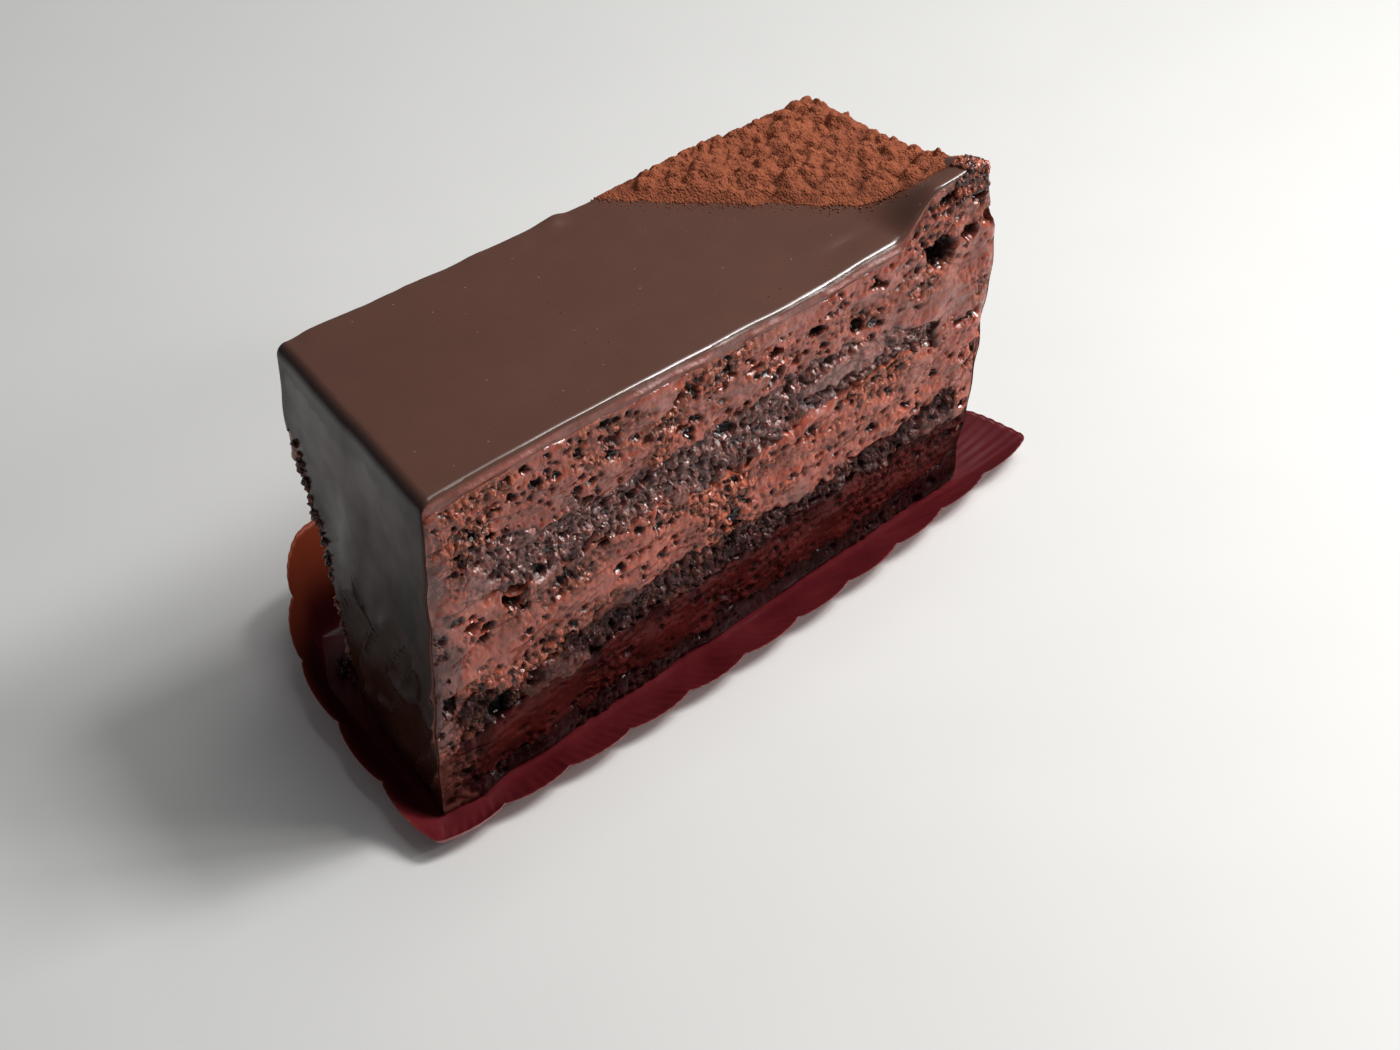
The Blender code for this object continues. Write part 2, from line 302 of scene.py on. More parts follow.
def glaze_depth(s, t):
    return mix(GLAZE_TOP, HUMP_GLAZE, hump(s, t))


def settle(s, t, z, front_depth=0.0, back_depth=0.0):
    """The place of a point once the slice leans and tapers, and its relief is pressed in.

    The relief of a cut fades out over the first millimetres behind it.
    """
    rise, width = z / BACK_TOP, width_at(s)
    left = spline(LEFT_LEAN, rise) + LEFT_SKEW * t
    right = spline(RIGHT_LEAN, rise) + RIGHT_SKEW * t
    x = s + mix(left, right, share_along(s))
    crumble = front_crag(s, z) * (1.0 - t) ** 4 - back_crag(s, z) * t**4
    y = FRONT + t * width + CRAG_DEPTH * crumble * (1.0 - 0.75 * ease(z, 44.0, 49.0))
    y = y + front_depth * np.clip(1.0 - t * width / FADE, 0.0, 1.0)
    y = y - back_depth * np.clip(1.0 - (1.0 - t) * width / FADE, 0.0, 1.0)
    return np.stack([x, y, z], axis=-1)


lower_foot = border(LOWER_SPONGE_FOOT, 41)
lower_top = border(LOWER_SPONGE_TOP, 43)
upper_foot = border(UPPER_SPONGE_FOOT, 45)
upper_top = border(UPPER_SPONGE_TOP, 47)
base_top = border(BASE_TOP, 49)
print(f"the top falls from {TOP[0]} mm to {min(TOP)} mm along the front cut")

# %% [markdown]
# ## From a grid to a piece
#
# A layer is a block: a lattice of points along, across and up. Only its skin is kept, six grids
# that share the points of their edges, so the piece is closed and has no seams. A function then
# bends the lattice into its place. Numbers kept on the points, such as how deep a point lies in
# a bubble, go on to the material as attributes.

# %% Mesh helpers


def make_object(name, points, faces, look, attributes=None, sharp=None):
    """A mesh object from arrays: points in millimetres, faces of three or four corners in one array.

    Edges where faces meet at more than the angle sharp, in degrees, keep a crisp shade.
    """
    mesh = bpy.data.meshes.new(name)
    mesh.vertices.add(len(points))
    mesh.vertices.foreach_set("co", (points * MM).astype(np.float32).ravel())
    corners = faces.shape[1]
    mesh.loops.add(faces.size)
    mesh.loops.foreach_set("vertex_index", faces.astype(np.int32).ravel())
    mesh.polygons.add(len(faces))
    mesh.polygons.foreach_set("loop_start", np.arange(len(faces), dtype=np.int32) * corners)
    mesh.update(calc_edges=True)
    mesh.validate()
    for title, values in (attributes or {}).items():
        field = mesh.attributes.new(title, "FLOAT", "POINT")
        field.data.foreach_set("value", np.asarray(values, np.float32).ravel())
    mesh.materials.append(look)
    mesh.shade_smooth()
    if sharp:
        mesh.set_sharp_from_angle(angle=math.radians(sharp))
    made = bpy.data.objects.new(name, mesh)
    bpy.context.scene.collection.objects.link(made)
    return made


def block_skin(nu, nv, nw):
    """The skin of a lattice of nu, nv and nw steps: its points' steps, and its four-cornered faces."""
    number = np.full((nu + 1, nv + 1, nw + 1), -1)
    inside = np.zeros(number.shape, bool)
    inside[1:-1, 1:-1, 1:-1] = True
    skin = ~inside
    number[skin] = np.arange(skin.sum())
    faces = []
    for side, turned in (
        (number[:, 0, :], False), (number[:, -1, :], True),
        (number[:, :, -1], False), (number[:, :, 0], True),
        (number[-1, :, :], False), (number[0, :, :], True),
    ):
        quads = np.stack([side[:-1, :-1], side[1:, :-1], side[1:, 1:], side[:-1, 1:]], axis=-1)
        faces.append(quads.reshape(-1, 4)[:, ::-1] if turned else quads.reshape(-1, 4))
    return np.nonzero(skin), np.concatenate(faces)


def report(made):
    """Prints what a piece measures, and hands it back."""
    box = np.array(made.bound_box) / MM
    size = " x ".join(f"{value:.1f}" for value in box.max(axis=0) - box.min(axis=0))
    print(f"{made.name}: {len(made.data.vertices)} points, {len(made.data.polygons)} faces, {size} mm")
    return made


# The rows across the slice: fine behind each cut, where the relief shows, and coarse inside.
ROWS = np.array([0.0, 0.5, 1.2, 2.4, 5.0, 9.0, 16.8, 24.6, 28.6, 31.2, 32.4, 33.1, 33.6]) / MID_WIDTH
STEP = 0.23
print(f"a grid step of {STEP} mm on the cuts")

# %% [markdown]
# ## What the knife left on the cuts
#
# The mousse is creamy where the blade smeared it and full of holes where it tore. The sponge is
# all crumb. The largest holes were measured in the picture and stand in a table: place, half
# sizes and depth. Smaller ones are scattered, with more of them in some regions than in others.

# %% Places on the front cut
# X, Z, half width, half height, depth.
HOLES = (
    (39.7, 45.2, 2.9, 2.6, 4.2), (45.3, 46.1, 1.5, 1.1, 2.2), (47.9, 31.4, 0.8, 1.0, 0.8),
    (44.7, 24.7, 0.7, 0.6, 0.8), (48.0, 23.4, 0.5, 0.6, 0.6), (28.7, 46.0, 0.8, 0.6, 0.9),
    (20.1, 45.9, 0.7, 0.5, 0.8), (21.7, 46.3, 0.9, 0.45, 0.7), (16.0, 45.4, 0.5, 0.4, 0.6),
    (24.7, 41.2, 1.5, 0.8, 1.0), (16.6, 27.5, 0.9, 1.2, 1.3), (30.8, 34.6, 0.7, 0.7, 0.8),
    (39.6, 16.0, 0.8, 0.7, 0.9), (35.2, 41.8, 0.9, 0.8, 0.9),
    (-4.5, 47.3, 0.85, 0.6, 1.0), (-6.8, 47.1, 1.2, 0.65, 1.1), (0.3, 45.0, 0.85, 0.65, 1.1),
    (1.8, 45.7, 1.0, 0.6, 0.9), (5.9, 44.7, 1.3, 0.5, 0.9), (9.3, 45.0, 1.3, 0.9, 1.3),
    (9.9, 41.9, 1.2, 0.8, 1.1), (13.4, 41.7, 0.6, 0.9, 0.9), (-6.7, 42.0, 1.0, 0.6, 1.0),
    (-10.1, 44.2, 0.8, 0.7, 0.9), (-12.3, 43.5, 1.1, 0.6, 1.0), (-17.8, 46.3, 1.3, 0.6, 0.9),
    (0.8, 36.9, 1.8, 1.1, 1.6), (7.1, 38.3, 1.2, 0.7, 1.1), (19.1, 33.1, 0.7, 0.9, 1.1),
    (1.8, 28.5, 0.9, 1.0, 1.2), (14.0, 22.0, 0.6, 0.7, 0.7), (-10.6, 30.5, 0.9, 0.5, 0.9),
    (-34.4, 31.0, 2.1, 1.8, 2.8), (-30.0, 32.4, 1.3, 0.9, 1.6), (-41.2, 30.3, 1.0, 0.9, 1.4),
    (-46.1, 19.8, 1.4, 2.2, 2.2), (-38.6, 13.6, 2.0, 2.5, 2.6), (-22.4, 39.9, 1.1, 0.8, 1.2),
    (-24.8, 5.8, 0.8, 0.5, 0.7), (-28.2, 34.6, 1.6, 0.6, 1.0), (-35.8, 47.6, 0.7, 0.3, 0.5),
    (50.4, 47.0, 2.6, 1.5, 3.4), (45.4, 55.0, 2.3, 1.3, 3.0), (42.2, 54.0, 1.0, 0.8, 1.3),
    (46.6, 51.6, 1.3, 1.1, 1.6), (40.8, 51.6, 0.9, 0.6, 1.0), (38.0, 52.4, 0.9, 0.45, 0.8),
    (43.4, 49.4, 1.1, 0.7, 1.2), (36.3, 47.0, 0.8, 0.5, 0.8), (-27.5, 26.8, 0.9, 0.6, 0.9),
)
# Where crumbs break through the mousse: X, Z, half width, half height and strength.
CRUMBLED = (
    (44.5, 53.6, 4.6, 4.6, 1.0), (39.5, 48.8, 5.0, 2.6, 0.9), (38.0, 41.5, 5.5, 2.0, 0.8),
    (-25.0, 28.4, 6.5, 2.8, 0.95), (-33.0, 29.0, 6.0, 3.0, 0.5), (-42.8, 14.0, 3.0, 4.6, 0.9),
    (8.5, 26.5, 3.6, 3.0, 0.8), (8.0, 43.8, 4.5, 2.4, 0.7), (-7.0, 28.6, 5.0, 1.6, 0.9),
    (-14.0, 44.8, 6.0, 1.4, 0.5), (22.0, 43.6, 6.0, 1.5, 0.5), (-36.0, 3.6, 5.0, 2.0, 0.5),
    (20.0, 26.0, 7.0, 1.4, 0.6), (-45.0, 7.0, 3.4, 6.5, 0.9),
)
# Where the blade left the mousse smooth.
CREAMY = (
    (4.0, 42.0, 4.0, 1.6, 1.0), (-11.5, 46.8, 3.2, 1.2, 0.9), (-15.0, 42.0, 5.0, 1.6, 0.8),
    (-44.5, 38.0, 2.6, 9.0, 1.0), (34.5, 42.6, 3.0, 1.6, 0.9), (43.2, 40.0, 4.0, 3.5, 0.9),
    (13.0, 48.0, 6.0, 1.0, 0.8), (-25.0, 23.6, 6.0, 1.4, 0.8), (30.0, 25.0, 5.0, 1.4, 0.8),
)
# Where dark crumbs are rubbed into the mousse.
STAINED = (
    (-27.0, 29.2, 8.5, 2.8, 0.8), (-42.6, 12.0, 3.0, 6.0, 0.75), (-33.0, 29.5, 4.0, 2.0, 0.4),
    (9.5, 38.0, 3.0, 1.6, 0.5), (-9.5, 29.0, 3.0, 1.4, 0.4), (44.8, 54.6, 4.4, 2.8, 1.0),
    (47.4, 52.0, 1.4, 3.0, 0.6),
)
# Where mousse comes down the left end: pale over the lowest layers, and painted shade in the column above.
LEGS = ((-47.5, 6.5, 4.2, 8.0, 0.9), (-47.5, 28.0, 5.0, 24.0, 0.9))
print(len(HOLES), "large holes")

# %% Relief of the cuts


def oval(x, z, place):
    """The squared distance from an oval's middle, in its own half sizes."""
    return ((x - place[0]) / place[2]) ** 2 + ((z - place[1]) / place[3]) ** 2


def region(x, z, table):
    """How strongly a point lies in any of the table's oval regions, from 0 to 1."""
    total = np.zeros(np.shape(x))
    for place in table:
        total = np.maximum(total, place[4] * np.exp(-oval(x, z, place)))
    return total


def named_holes(x, z, seed):
    """Bowls at the table's places, with ragged rims: the root of 1 less the squared distance."""
    deepest = np.zeros(np.shape(x))
    ragged = 0.32 * swell(x, z, 1.1, seed) + 0.16 * swell(x, z, 0.5, seed + 1)
    for place in HOLES:
        gap = oval(x, z, place) + ragged
        deepest = np.maximum(deepest, place[4] * np.sqrt(np.clip(1.0 - gap, 0.0, 1.0)))
    return deepest


def crumb(x, z, pitch, seed):
    """Rounded grains of uneven height: each cell is a dome, and the seams between cells are deep."""
    near, after, share = cells(x, z, pitch, seed)
    return near**2 * 0.8 + 0.3 * bell(after, near, 0.18) + 0.7 * share


def tear(x, z, pitch, seed):
    """Torn foam: sharp creases where a smooth field passes through its middle, from 0 to 1."""
    crease = 1.0 - np.abs(swell(x, z, pitch, seed))
    finer = 1.0 - np.abs(swell(x, z, pitch * 0.45, seed + 1))
    return crease**4 * 0.7 + finer**4 * 0.4


def mousse_cut(x, z, seed, front):
    """The relief of cut mousse: its depth in millimetres, how hollow and how crumbly each point is."""
    crumbly = ease(rough(x * 0.6, z, 6.0, seed + 3), -0.1, 0.45)
    creamy = ease(rough(x * 0.5, z, 4.5, seed + 5), 0.1, 0.42)
    if front:
        smooth = region(x, z, CREAMY)
        crumbly = np.maximum(crumbly * 0.9, region(x, z, CRUMBLED)) * (1.0 - 0.8 * smooth)
        creamy = np.maximum(creamy, smooth)
    creamy = creamy * (1.0 - crumbly)
    open_share = 1.0 - 0.9 * creamy

    def odds(a, b):
        return 0.25 + 0.5 * ease(rough(a * 0.6, b, 6.0, seed + 7), -0.4, 0.3)

    bubbles = pits(x * 0.72, z, 2.3, seed + 11, lambda a, b: odds(a / 0.72, b) * 0.75, 0.3, 0.95)
    froth = pits(x * 0.8, z, 1.25, seed + 21, lambda a, b: odds(a / 0.8, b) * 0.65, 0.2, 0.58)
    foam = pits(x, z, 0.7, seed + 31, 0.22, 0.14, 0.28)
    hollow = np.maximum(np.maximum(bubbles, froth), foam * 0.9) * open_share
    hollow = hollow * (1.0 + 0.35 * swell(x, z, 0.6, seed + 35))
    smear = 0.26 * rough(x * 0.4, z, 1.6, seed + 41)
    torn = (0.25 + 0.55 * crumbly) * tear(x * 0.7, z, 1.9, seed + 45) * open_share
    crumbs = 0.75 * crumb(x * 0.9, z * 1.1, 1.25, seed + 51) + 0.35 * crumb(x, z, 0.62, seed + 61) - 0.4
    depth = 1.7 * hollow + smear + torn + crumbly * crumbs + 0.35 * rough(x * 0.7, z, 3.0, seed + 71)
    depth = depth + 0.05 * rough(x, z, 0.6, seed + 81) - 0.3
    # How deep in a hole or a crack a point lies: the mask for the painted shade in hollows.
    sunk = ease(1.7 * hollow + 0.8 * crumbly * crumbs + 0.4 * torn, 0.12, 0.6)
    if front:
        named = named_holes(x, z, seed + 91)
        depth = np.where(named > 0.0, np.maximum(depth * 0.5 + named, named), depth)
        sunk = np.maximum(sunk, ease(named, 0.0, 1.2))
    return depth, sunk, crumbly, creamy


def sponge_cut(x, z, seed, front):
    """The relief of cut sponge: domed crumbs of two sizes with open pores, and a film in places."""
    film = ease(rough(x * 0.5, z, 5.0, seed + 3), 0.15, 0.45)
    coarse = crumb(x * 0.85, z * 1.1, 1.5, seed + 11)
    fine = crumb(x, z * 1.1, 0.72, seed + 21)
    pores = pits(x * 0.85, z, 1.9, seed + 31, 0.45, 0.3, 0.75)
    pores = pores + 0.8 * pits(x, z, 0.9, seed + 41, 0.4, 0.15, 0.36)
    lumps = (1.0 - 0.75 * film) * (coarse + 0.6 * fine + 1.4 * pores)
    depth = lumps + 0.3 * rough(x, z, 2.6, seed + 51) + 0.10 * rough(x, z, 0.6, seed + 61) - 0.55
    # How deep in a pore or seam a point lies: the mask for the painted shade there.
    sunk = ease(lumps, 0.95, 1.9)
    if front:
        named = named_holes(x, z, seed + 91)
        depth = np.where(named > 0.0, np.maximum(named + 0.4 * depth, depth), depth)
        sunk = np.maximum(sunk, ease(named, 0.0, 1.0))
    return depth, sunk, film, film


def stain(border_gap, x, z, seed):
    """How far the neighbouring layer is smeared over this point, from 0 to 1."""
    reach = 1.8 * ease(rough(x * 0.6, z, 2.6, seed), -0.15, 0.6)
    return np.exp(-border_gap / np.maximum(reach, 0.1))


patch = np.meshgrid(np.linspace(0.0, 20.0, 80), np.linspace(40.0, 50.0, 40))
print(f"the mousse is cut up to {mousse_cut(*patch, 660, True)[0].max():.1f} mm deep")

# %% [markdown]
# ## Finishes that several materials share
#
# Moist food has a fine sparkle, and no part of it is one flat colour. Two node groups carry
# that: one breaks up a colour with soft blotches, and one makes a fine bumpy skin. Each material
# places them with its own values. A few helpers keep the node work short: each adds one node,
# feeds its sockets and hands back the output that is needed.

# %% Node helpers


def feed(tree, socket, value):
    """Links a socket to another one, or sets its value. A colour of three numbers gets its alpha."""
    if isinstance(value, bpy.types.NodeSocket):
        tree.links.new(value, socket)
    else:
        socket.default_value = (*value, 1.0) if isinstance(value, tuple) else value


def fill(tree, node, inputs):
    """Feeds a node's inputs by name. An underscore stands for a space."""
    for title, value in inputs.items():
        feed(tree, node.inputs[title.replace("_", " ")], value)
    return node


def add(tree, kind, **inputs):
    """A node of this kind, with its inputs."""
    return fill(tree, tree.nodes.new("ShaderNode" + kind), inputs)


def use_group(tree, group, **inputs):
    """The outputs of a group that is placed in this tree, with its inputs."""
    node = tree.nodes.new("ShaderNodeGroup")
    node.node_tree = group
    return fill(tree, node, inputs).outputs


def blend(tree, share, low, high):
    """The colour between two colours or sockets."""
    node = tree.nodes.new("ShaderNodeMix")
    node.data_type = "RGBA"
    for place, value in ((0, share), (6, low), (7, high)):
        feed(tree, node.inputs[place], value)
    return node.outputs[2]


def number(tree, how, a, b):
    """One step of arithmetic on values or sockets."""
    node = tree.nodes.new("ShaderNodeMath")
    node.operation = how
    feed(tree, node.inputs[0], a)
    feed(tree, node.inputs[1], b)
    return node.outputs[0]


def times(tree, a, b):
    return number(tree, "MULTIPLY", a, b)


def plus(tree, a, b):
    return number(tree, "ADD", a, b)


def span(tree, value, start, end, low=0.0, high=1.0):
    """A value carried from the span start to end onto the span low to high."""
    node = tree.nodes.new("ShaderNodeMapRange")
    for socket, given in zip(node.inputs, (value, start, end, low, high)):
        feed(tree, socket, given)
    return node.outputs[0]


def attribute(tree, title):
    """The number that the mesh keeps on its points under this title."""
    node = tree.nodes.new("ShaderNodeAttribute")
    node.attribute_name = title
    return node.outputs["Fac"]


def object_place(tree):
    """The point's own coordinates in the object, so that a pattern stays on it."""
    return tree.nodes.new("ShaderNodeTexCoord").outputs["Object"]


def bump(tree, shader, height, distance, strength=1.0):
    """Fine bumps on a shader, of this many millimetres."""
    node = add(tree, "Bump", Height=height, Distance=distance * MM, Strength=strength)
    feed(tree, shader.inputs["Normal"], node.outputs["Normal"])
    return node.outputs["Normal"]


def new_material(name, colour, **sockets):
    """A material whose constants stand on the shader's own sockets."""
    made = bpy.data.materials.new(name)
    made.diffuse_color = (*colour, 1.0)
    made.use_nodes = True
    shader = made.node_tree.nodes["Principled BSDF"]
    fill(made.node_tree, shader, {"Base Color": colour, **sockets})
    return made, made.node_tree, shader


# %% Node groups


def new_group(name, inputs, outputs):
    """A node group and its sockets. Inputs come with a default: a colour of four numbers or a number."""
    made = bpy.data.node_groups.new(name, "ShaderNodeTree")
    for title, value in inputs.items():
        kind = "NodeSocketColor" if isinstance(value, tuple) else "NodeSocketFloat"
        socket = made.interface.new_socket(title, in_out="INPUT", socket_type=kind)
        socket.default_value = value
    for title, kind in outputs.items():
        made.interface.new_socket(title, in_out="OUTPUT", socket_type=kind)
    return made, made.nodes.new("NodeGroupInput").outputs, made.nodes.new("NodeGroupOutput").inputs


def make_blotches():
    """Multiplies a colour by two sizes of soft noise, around 1. The noise itself is the mask."""
    made, entry, leave = new_group(
        "blotches",
        {"Color": (0.5, 0.5, 0.5, 1.0), "Scale": 200.0, "Strength": 0.3},
        {"Color": "NodeSocketColor", "Mask": "NodeSocketFloat"},
    )
    place = object_place(made)
    broad = add(made, "TexNoise", Vector=place, Scale=entry["Scale"], Detail=3.0)
    tight = add(made, "TexNoise", Vector=place, Scale=times(made, entry["Scale"], 4.3), Detail=4.0)
    both = plus(made, broad.outputs["Fac"], times(made, tight.outputs["Fac"], 0.6))
    swing = times(made, number(made, "SUBTRACT", both, 0.8), 2.0)
    scaled = made.nodes.new("ShaderNodeVectorMath")
    scaled.operation = "SCALE"
    factor = plus(made, times(made, swing, entry["Strength"]), 1.0)
    fill(made, scaled, {"Vector": entry["Color"], "Scale": factor})
    made.links.new(scaled.outputs["Vector"], leave["Color"])
    made.links.new(both, leave["Mask"])
    return made


def make_skin_grain():
    """A height for bumps: fine noise, and rounded cells for crumbs."""
    made, entry, leave = new_group(
        "skin_grain",
        {"Noise Scale": 2000.0, "Cell Scale": 1500.0, "Cells": 0.5},
        {"Height": "NodeSocketFloat"},
    )
    place = object_place(made)
    fine = add(made, "TexNoise", Vector=place, Scale=entry["Noise Scale"], Detail=4.0, Roughness=0.6)
    near = add(made, "TexVoronoi", Vector=place, Scale=entry["Cell Scale"]).outputs["Distance"]
    dome = number(made, "SUBTRACT", 1.0, times(made, near, near))
    height = plus(made, times(made, fine.outputs["Fac"], 0.5), times(made, dome, entry["Cells"]))
    made.links.new(height, leave["Height"])
    return made


blotches, skin_grain = make_blotches(), make_skin_grain()
print("groups:", blotches.name, skin_grain.name)

# %% [markdown]
# ## Mousse
#
# Mousse is whipped, so it is full of bubbles, and the shade in them is painted in as a dark,
# saturated tone. Its skin is moist: polished spots on a bumpy skin give the small white glints.
# The attributes say where it is hollow, where the blade left it creamy, where it is crumbly and
# where the sponge has rubbed off on it.

# %% The mousse material
# Name, smeared cream, cut foam, crumbs, painted shade in hollows, stains, height of bumps in millimetres,
# polish.
MOUSSES = (
    ("mousse_upper", (0.265, 0.074, 0.051), (0.275, 0.058, 0.033), (0.34, 0.082, 0.040),
     (0.010, 0.002, 0.001), (0.024, 0.006, 0.005), 0.30, 0.6),
    ("mousse_middle", (0.300, 0.082, 0.056), (0.33, 0.071, 0.042), (0.41, 0.100, 0.050),
     (0.012, 0.002, 0.001), (0.026, 0.007, 0.006), 0.30, 0.6),
    # The low mousse and the base sponge are painted darker and redder: painted shade, and painted red light
    # from the paper.
    ("mousse_low", (0.070, 0.010, 0.008), (0.065, 0.008, 0.007), (0.075, 0.009, 0.007),
     (0.008, 0.001, 0.001), (0.014, 0.005, 0.005), 0.18, 0.08),
    ("sponge_base", (0.030, 0.006, 0.006), (0.026, 0.005, 0.005), (0.034, 0.006, 0.005),
     (0.005, 0.001, 0.001), (0.010, 0.003, 0.003), 0.14, 0.15),
)
# Pale mousse over the lowest layers, and painted shade on the left column of the mousses above them.
LEG_AND_SHADE_TONE = (0.120, 0.035, 0.027)


def make_mousse(name, cream, foam, crumbs, deep, dark, grit, shine):
    """Three tones by place: smeared cream, cut foam and crumbs, sinking to a deep painted shade in hollows.
    """
    made, tree, shader = new_material(name, foam, Specular_IOR_Level=shine)
    crumbly = attribute(tree, "crumbly")
    colour = blend(tree, crumbly, blend(tree, attribute(tree, "creamy"), foam, cream), crumbs)
    colour = blend(tree, times(tree, attribute(tree, "stain"), 0.85), colour, dark)
    colour = blend(tree, attribute(tree, "leg"), colour, LEG_AND_SHADE_TONE)
    toned = use_group(tree, blotches, Color=colour, Scale=300.0, Strength=0.6)
    dry = plus(tree, times(tree, crumbly, 0.06), 0.34)
    wet = span(tree, toned["Mask"], 0.70, 0.82, 0.0, 0.26)
    fill(tree, shader, {
        "Base Color": blend(tree, attribute(tree, "hollow"), toned["Color"], deep),
        "Roughness": number(tree, "SUBTRACT", dry, wet),
    })
    grain = use_group(tree, skin_grain, Noise_Scale=1500.0, Cell_Scale=1250.0, Cells=1.2)
    fine = span(tree, crumbly, 0.0, 1.0, 0.16, 1.0)
    bump(tree, shader, times(tree, grain["Height"], fine), grit)
    return made


mousse_look, middle_mousse_look, low_mousse_look, base_look = (make_mousse(*row) for row in MOUSSES)
print("made", ", ".join(row[0] for row in MOUSSES))

# %% [markdown]
# ## Sponge
#
# The sponge is soaked and nearly black. What the eye reads as crumb is the glint on each wet
# grain, so the polish matters more than the colour. Some places carry a smooth film.

# %% The sponge material
# Name, crumbs, smooth film, rubbed-in mousse, polish.
SPONGES = (
    ("sponge_upper", (0.150, 0.042, 0.031), (0.190, 0.060, 0.047), (0.27, 0.070, 0.039), 0.9),
    # The low sponge is painted darker and redder than the upper one: painted shade, and painted red light
    # from the paper.
    ("sponge_low", (0.050, 0.012, 0.010), (0.085, 0.027, 0.022), (0.20, 0.050, 0.028), 0.28),
)
# Painted shade in the sponge's pores and seams.
PORE_SHADE = (0.005, 0.002, 0.002)


def make_sponge(name, crumbs, film, mousse, shine):
    """Dark crumbs and smoother film, painted shade in the pores, and wet spots where the blotches' mask is
    high.
    """
    made, tree, shader = new_material(name, crumbs, Specular_IOR_Level=shine)
    colour = blend(tree, attribute(tree, "crumbly"), crumbs, film)
    colour = blend(tree, times(tree, attribute(tree, "stain"), 0.9), colour, mousse)
    toned = use_group(tree, blotches, Color=colour, Scale=450.0, Strength=0.9)
    fill(tree, shader, {
        "Base Color": blend(tree, attribute(tree, "hollow"), toned["Color"], PORE_SHADE),
        "Roughness": span(tree, toned["Mask"], 0.70, 0.86, 0.5, 0.10),
    })
    grain = use_group(tree, skin_grain, Noise_Scale=1200.0, Cell_Scale=1000.0, Cells=0.7)
    bump(tree, shader, grain["Height"], 0.26)
    return made


sponge_look, low_sponge_look = (make_sponge(*row) for row in SPONGES)
print("made", ", ".join(row[0] for row in SPONGES))

# %% [markdown]
# ## The six layers
#
# The sponges and the lowest mousse are slabs between two borders. The other two mousses lie over a
# sponge like an arch and come down at both ends, so their lattice runs up one side, over the top
# and down the other. Borders overlap by a fraction of a millimetre, and each piece sinks a little
# at its own border, so that crumbs of one layer lie over the next with no gap.

# %% A layer from its path
END_INSET = GLAZE_SIDE - 0.15
SPONGE_ROUND = 2.4
# A cut keeps this relief where the glaze lies on it, and the back cut's pattern is shifted along.
CALM_DEPTH = 0.06
BACK_SHIFT = 7.0
BACK_SEED = 500
# At both ends of a cut the crumb swells out over the edge of the glaze by this much.
END_SWELL = 0.85
# The middle and the half sizes of the ball that cuts off the broken corner.
CORNER_BREAK = ((-50.0, 22.0, 2.0), (15.0, 20.0, 40.0))


def break_corner(points):
    """Points inside the broken corner's ball move straight out from its middle to its uneven wall."""
    centre, halves = (np.array(part) for part in CORNER_BREAK)
    gap = (points - centre) / halves
    far = np.linalg.norm(gap, axis=1)
    wall = 1.0 + 0.035 * rough(points[:, 1] + points[:, 0], points[:, 2], 4.0, 71)
    share = np.where(far < wall, wall / np.maximum(far, 0.05), 1.0)
    moved = centre + gap * halves * share[:, None]
    moved[:, 2] = np.maximum(moved[:, 2], points[:, 2])
    return moved


def layer_piece(name, path, steps, cut, seed, look, slot, broken, soft_rim=0.3, relief=1.0, lap=0.0):
    """A layer from path(u, t, w), which gives s and z, with the relief of both cuts pressed in."""
    nu, nw = steps
    (iu, iv, iw), faces = block_skin(nu, len(ROWS) - 1, nw)
    t = ROWS[iv]
    s, z, gap, skin_gap = path(iu / nu, t, iw / nw)
    calm = ease(skin_gap + 0.35 * swell(s, z, 1.3, seed + 7), 0.0, 0.9)
    from_cut = np.minimum(t, 1.0 - t) * MID_WIDTH
    side_gap = HALF - END_INSET - np.abs(s)
    s = s + np.sign(s) * END_SWELL * bell(side_gap, 0.0, 0.6) * ease(from_cut, 2.4, 0.4)
    lapped = lap * glaze_depth(s, t) * (0.5 + 0.5 * rough(s, 0.0, 3.4, seed + 8))
    z = z + lapped * bell(skin_gap, 0.0, 0.5) * ease(from_cut, 2.2, 0.4) * ease(side_gap, 0.0, 1.0)
    x = settle(s, t, z)[:, 0]
    near_front = t < 0.5
    cuts = cut(x, z, seed, True), cut(x + BACK_SHIFT, z, seed + BACK_SEED, False)
    rim = soft_rim * bell(gap, 0.0, 0.28)
    points = settle(s, t, z, *(mix(CALM_DEPTH, (side[0] + rim) * relief, calm) for side in cuts))
    hollow, crumbly, creamy = (np.where(near_front, *pair) for pair in list(zip(*cuts))[1:])
    legs = region(x, z, LEGS) + 0.25 * swell(x, z, 1.2, seed + 9)
    rubbed = near_front * region(x, z, STAINED) * (cut is mousse_cut)
    attributes = {
        # The mask for the painted shade in holes and pores.
        "hollow": hollow * calm * min(1.0, relief + 0.15),
        "crumbly": crumbly,
        "creamy": creamy,
        "leg": near_front * ease(legs, 0.3, 0.7),
        "stain": np.maximum(stain(gap, x, z, seed + 300), rubbed),
    }
    made = make_object(name, break_corner(points) if broken else points, faces, look, attributes, 75.0)
    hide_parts(name.replace("_cut", ""))
    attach(made, "root")
    return report(made)


print(f"each cut has {len(ROWS)} rows behind it")

# %% Slabs and arches


def slab_path(left, right, bottom, cover, seed, wobble=0.0):
    """A slab between two borders. One with uneven ends has round top edges."""
    radius = SPONGE_ROUND * (wobble > 0.0)

    def path(u, t, w):
        start = left + wobble * swell(ACROSS * t, w * 8.0, 1.9, seed)
        end = right + wobble * swell(ACROSS * t, w * 8.0, 1.9, seed + 1)
        s = mix(start, end, u)
        ends = np.minimum(s - start, end - s)
        short = np.clip(radius - ends, 0.0, radius)
        low, high = bottom(s, t), cover(s, t) - radius + np.sqrt(radius**2 - short**2)
        z = mix(low, high, w)
        gap = np.minimum(np.minimum(z - low, high - z), ends * (0.4 if wobble else 1.0))
        skin_gap = np.minimum(s + HALF - END_INSET, HALF - END_INSET - s)
        return s, z, gap, skin_gap

    return path


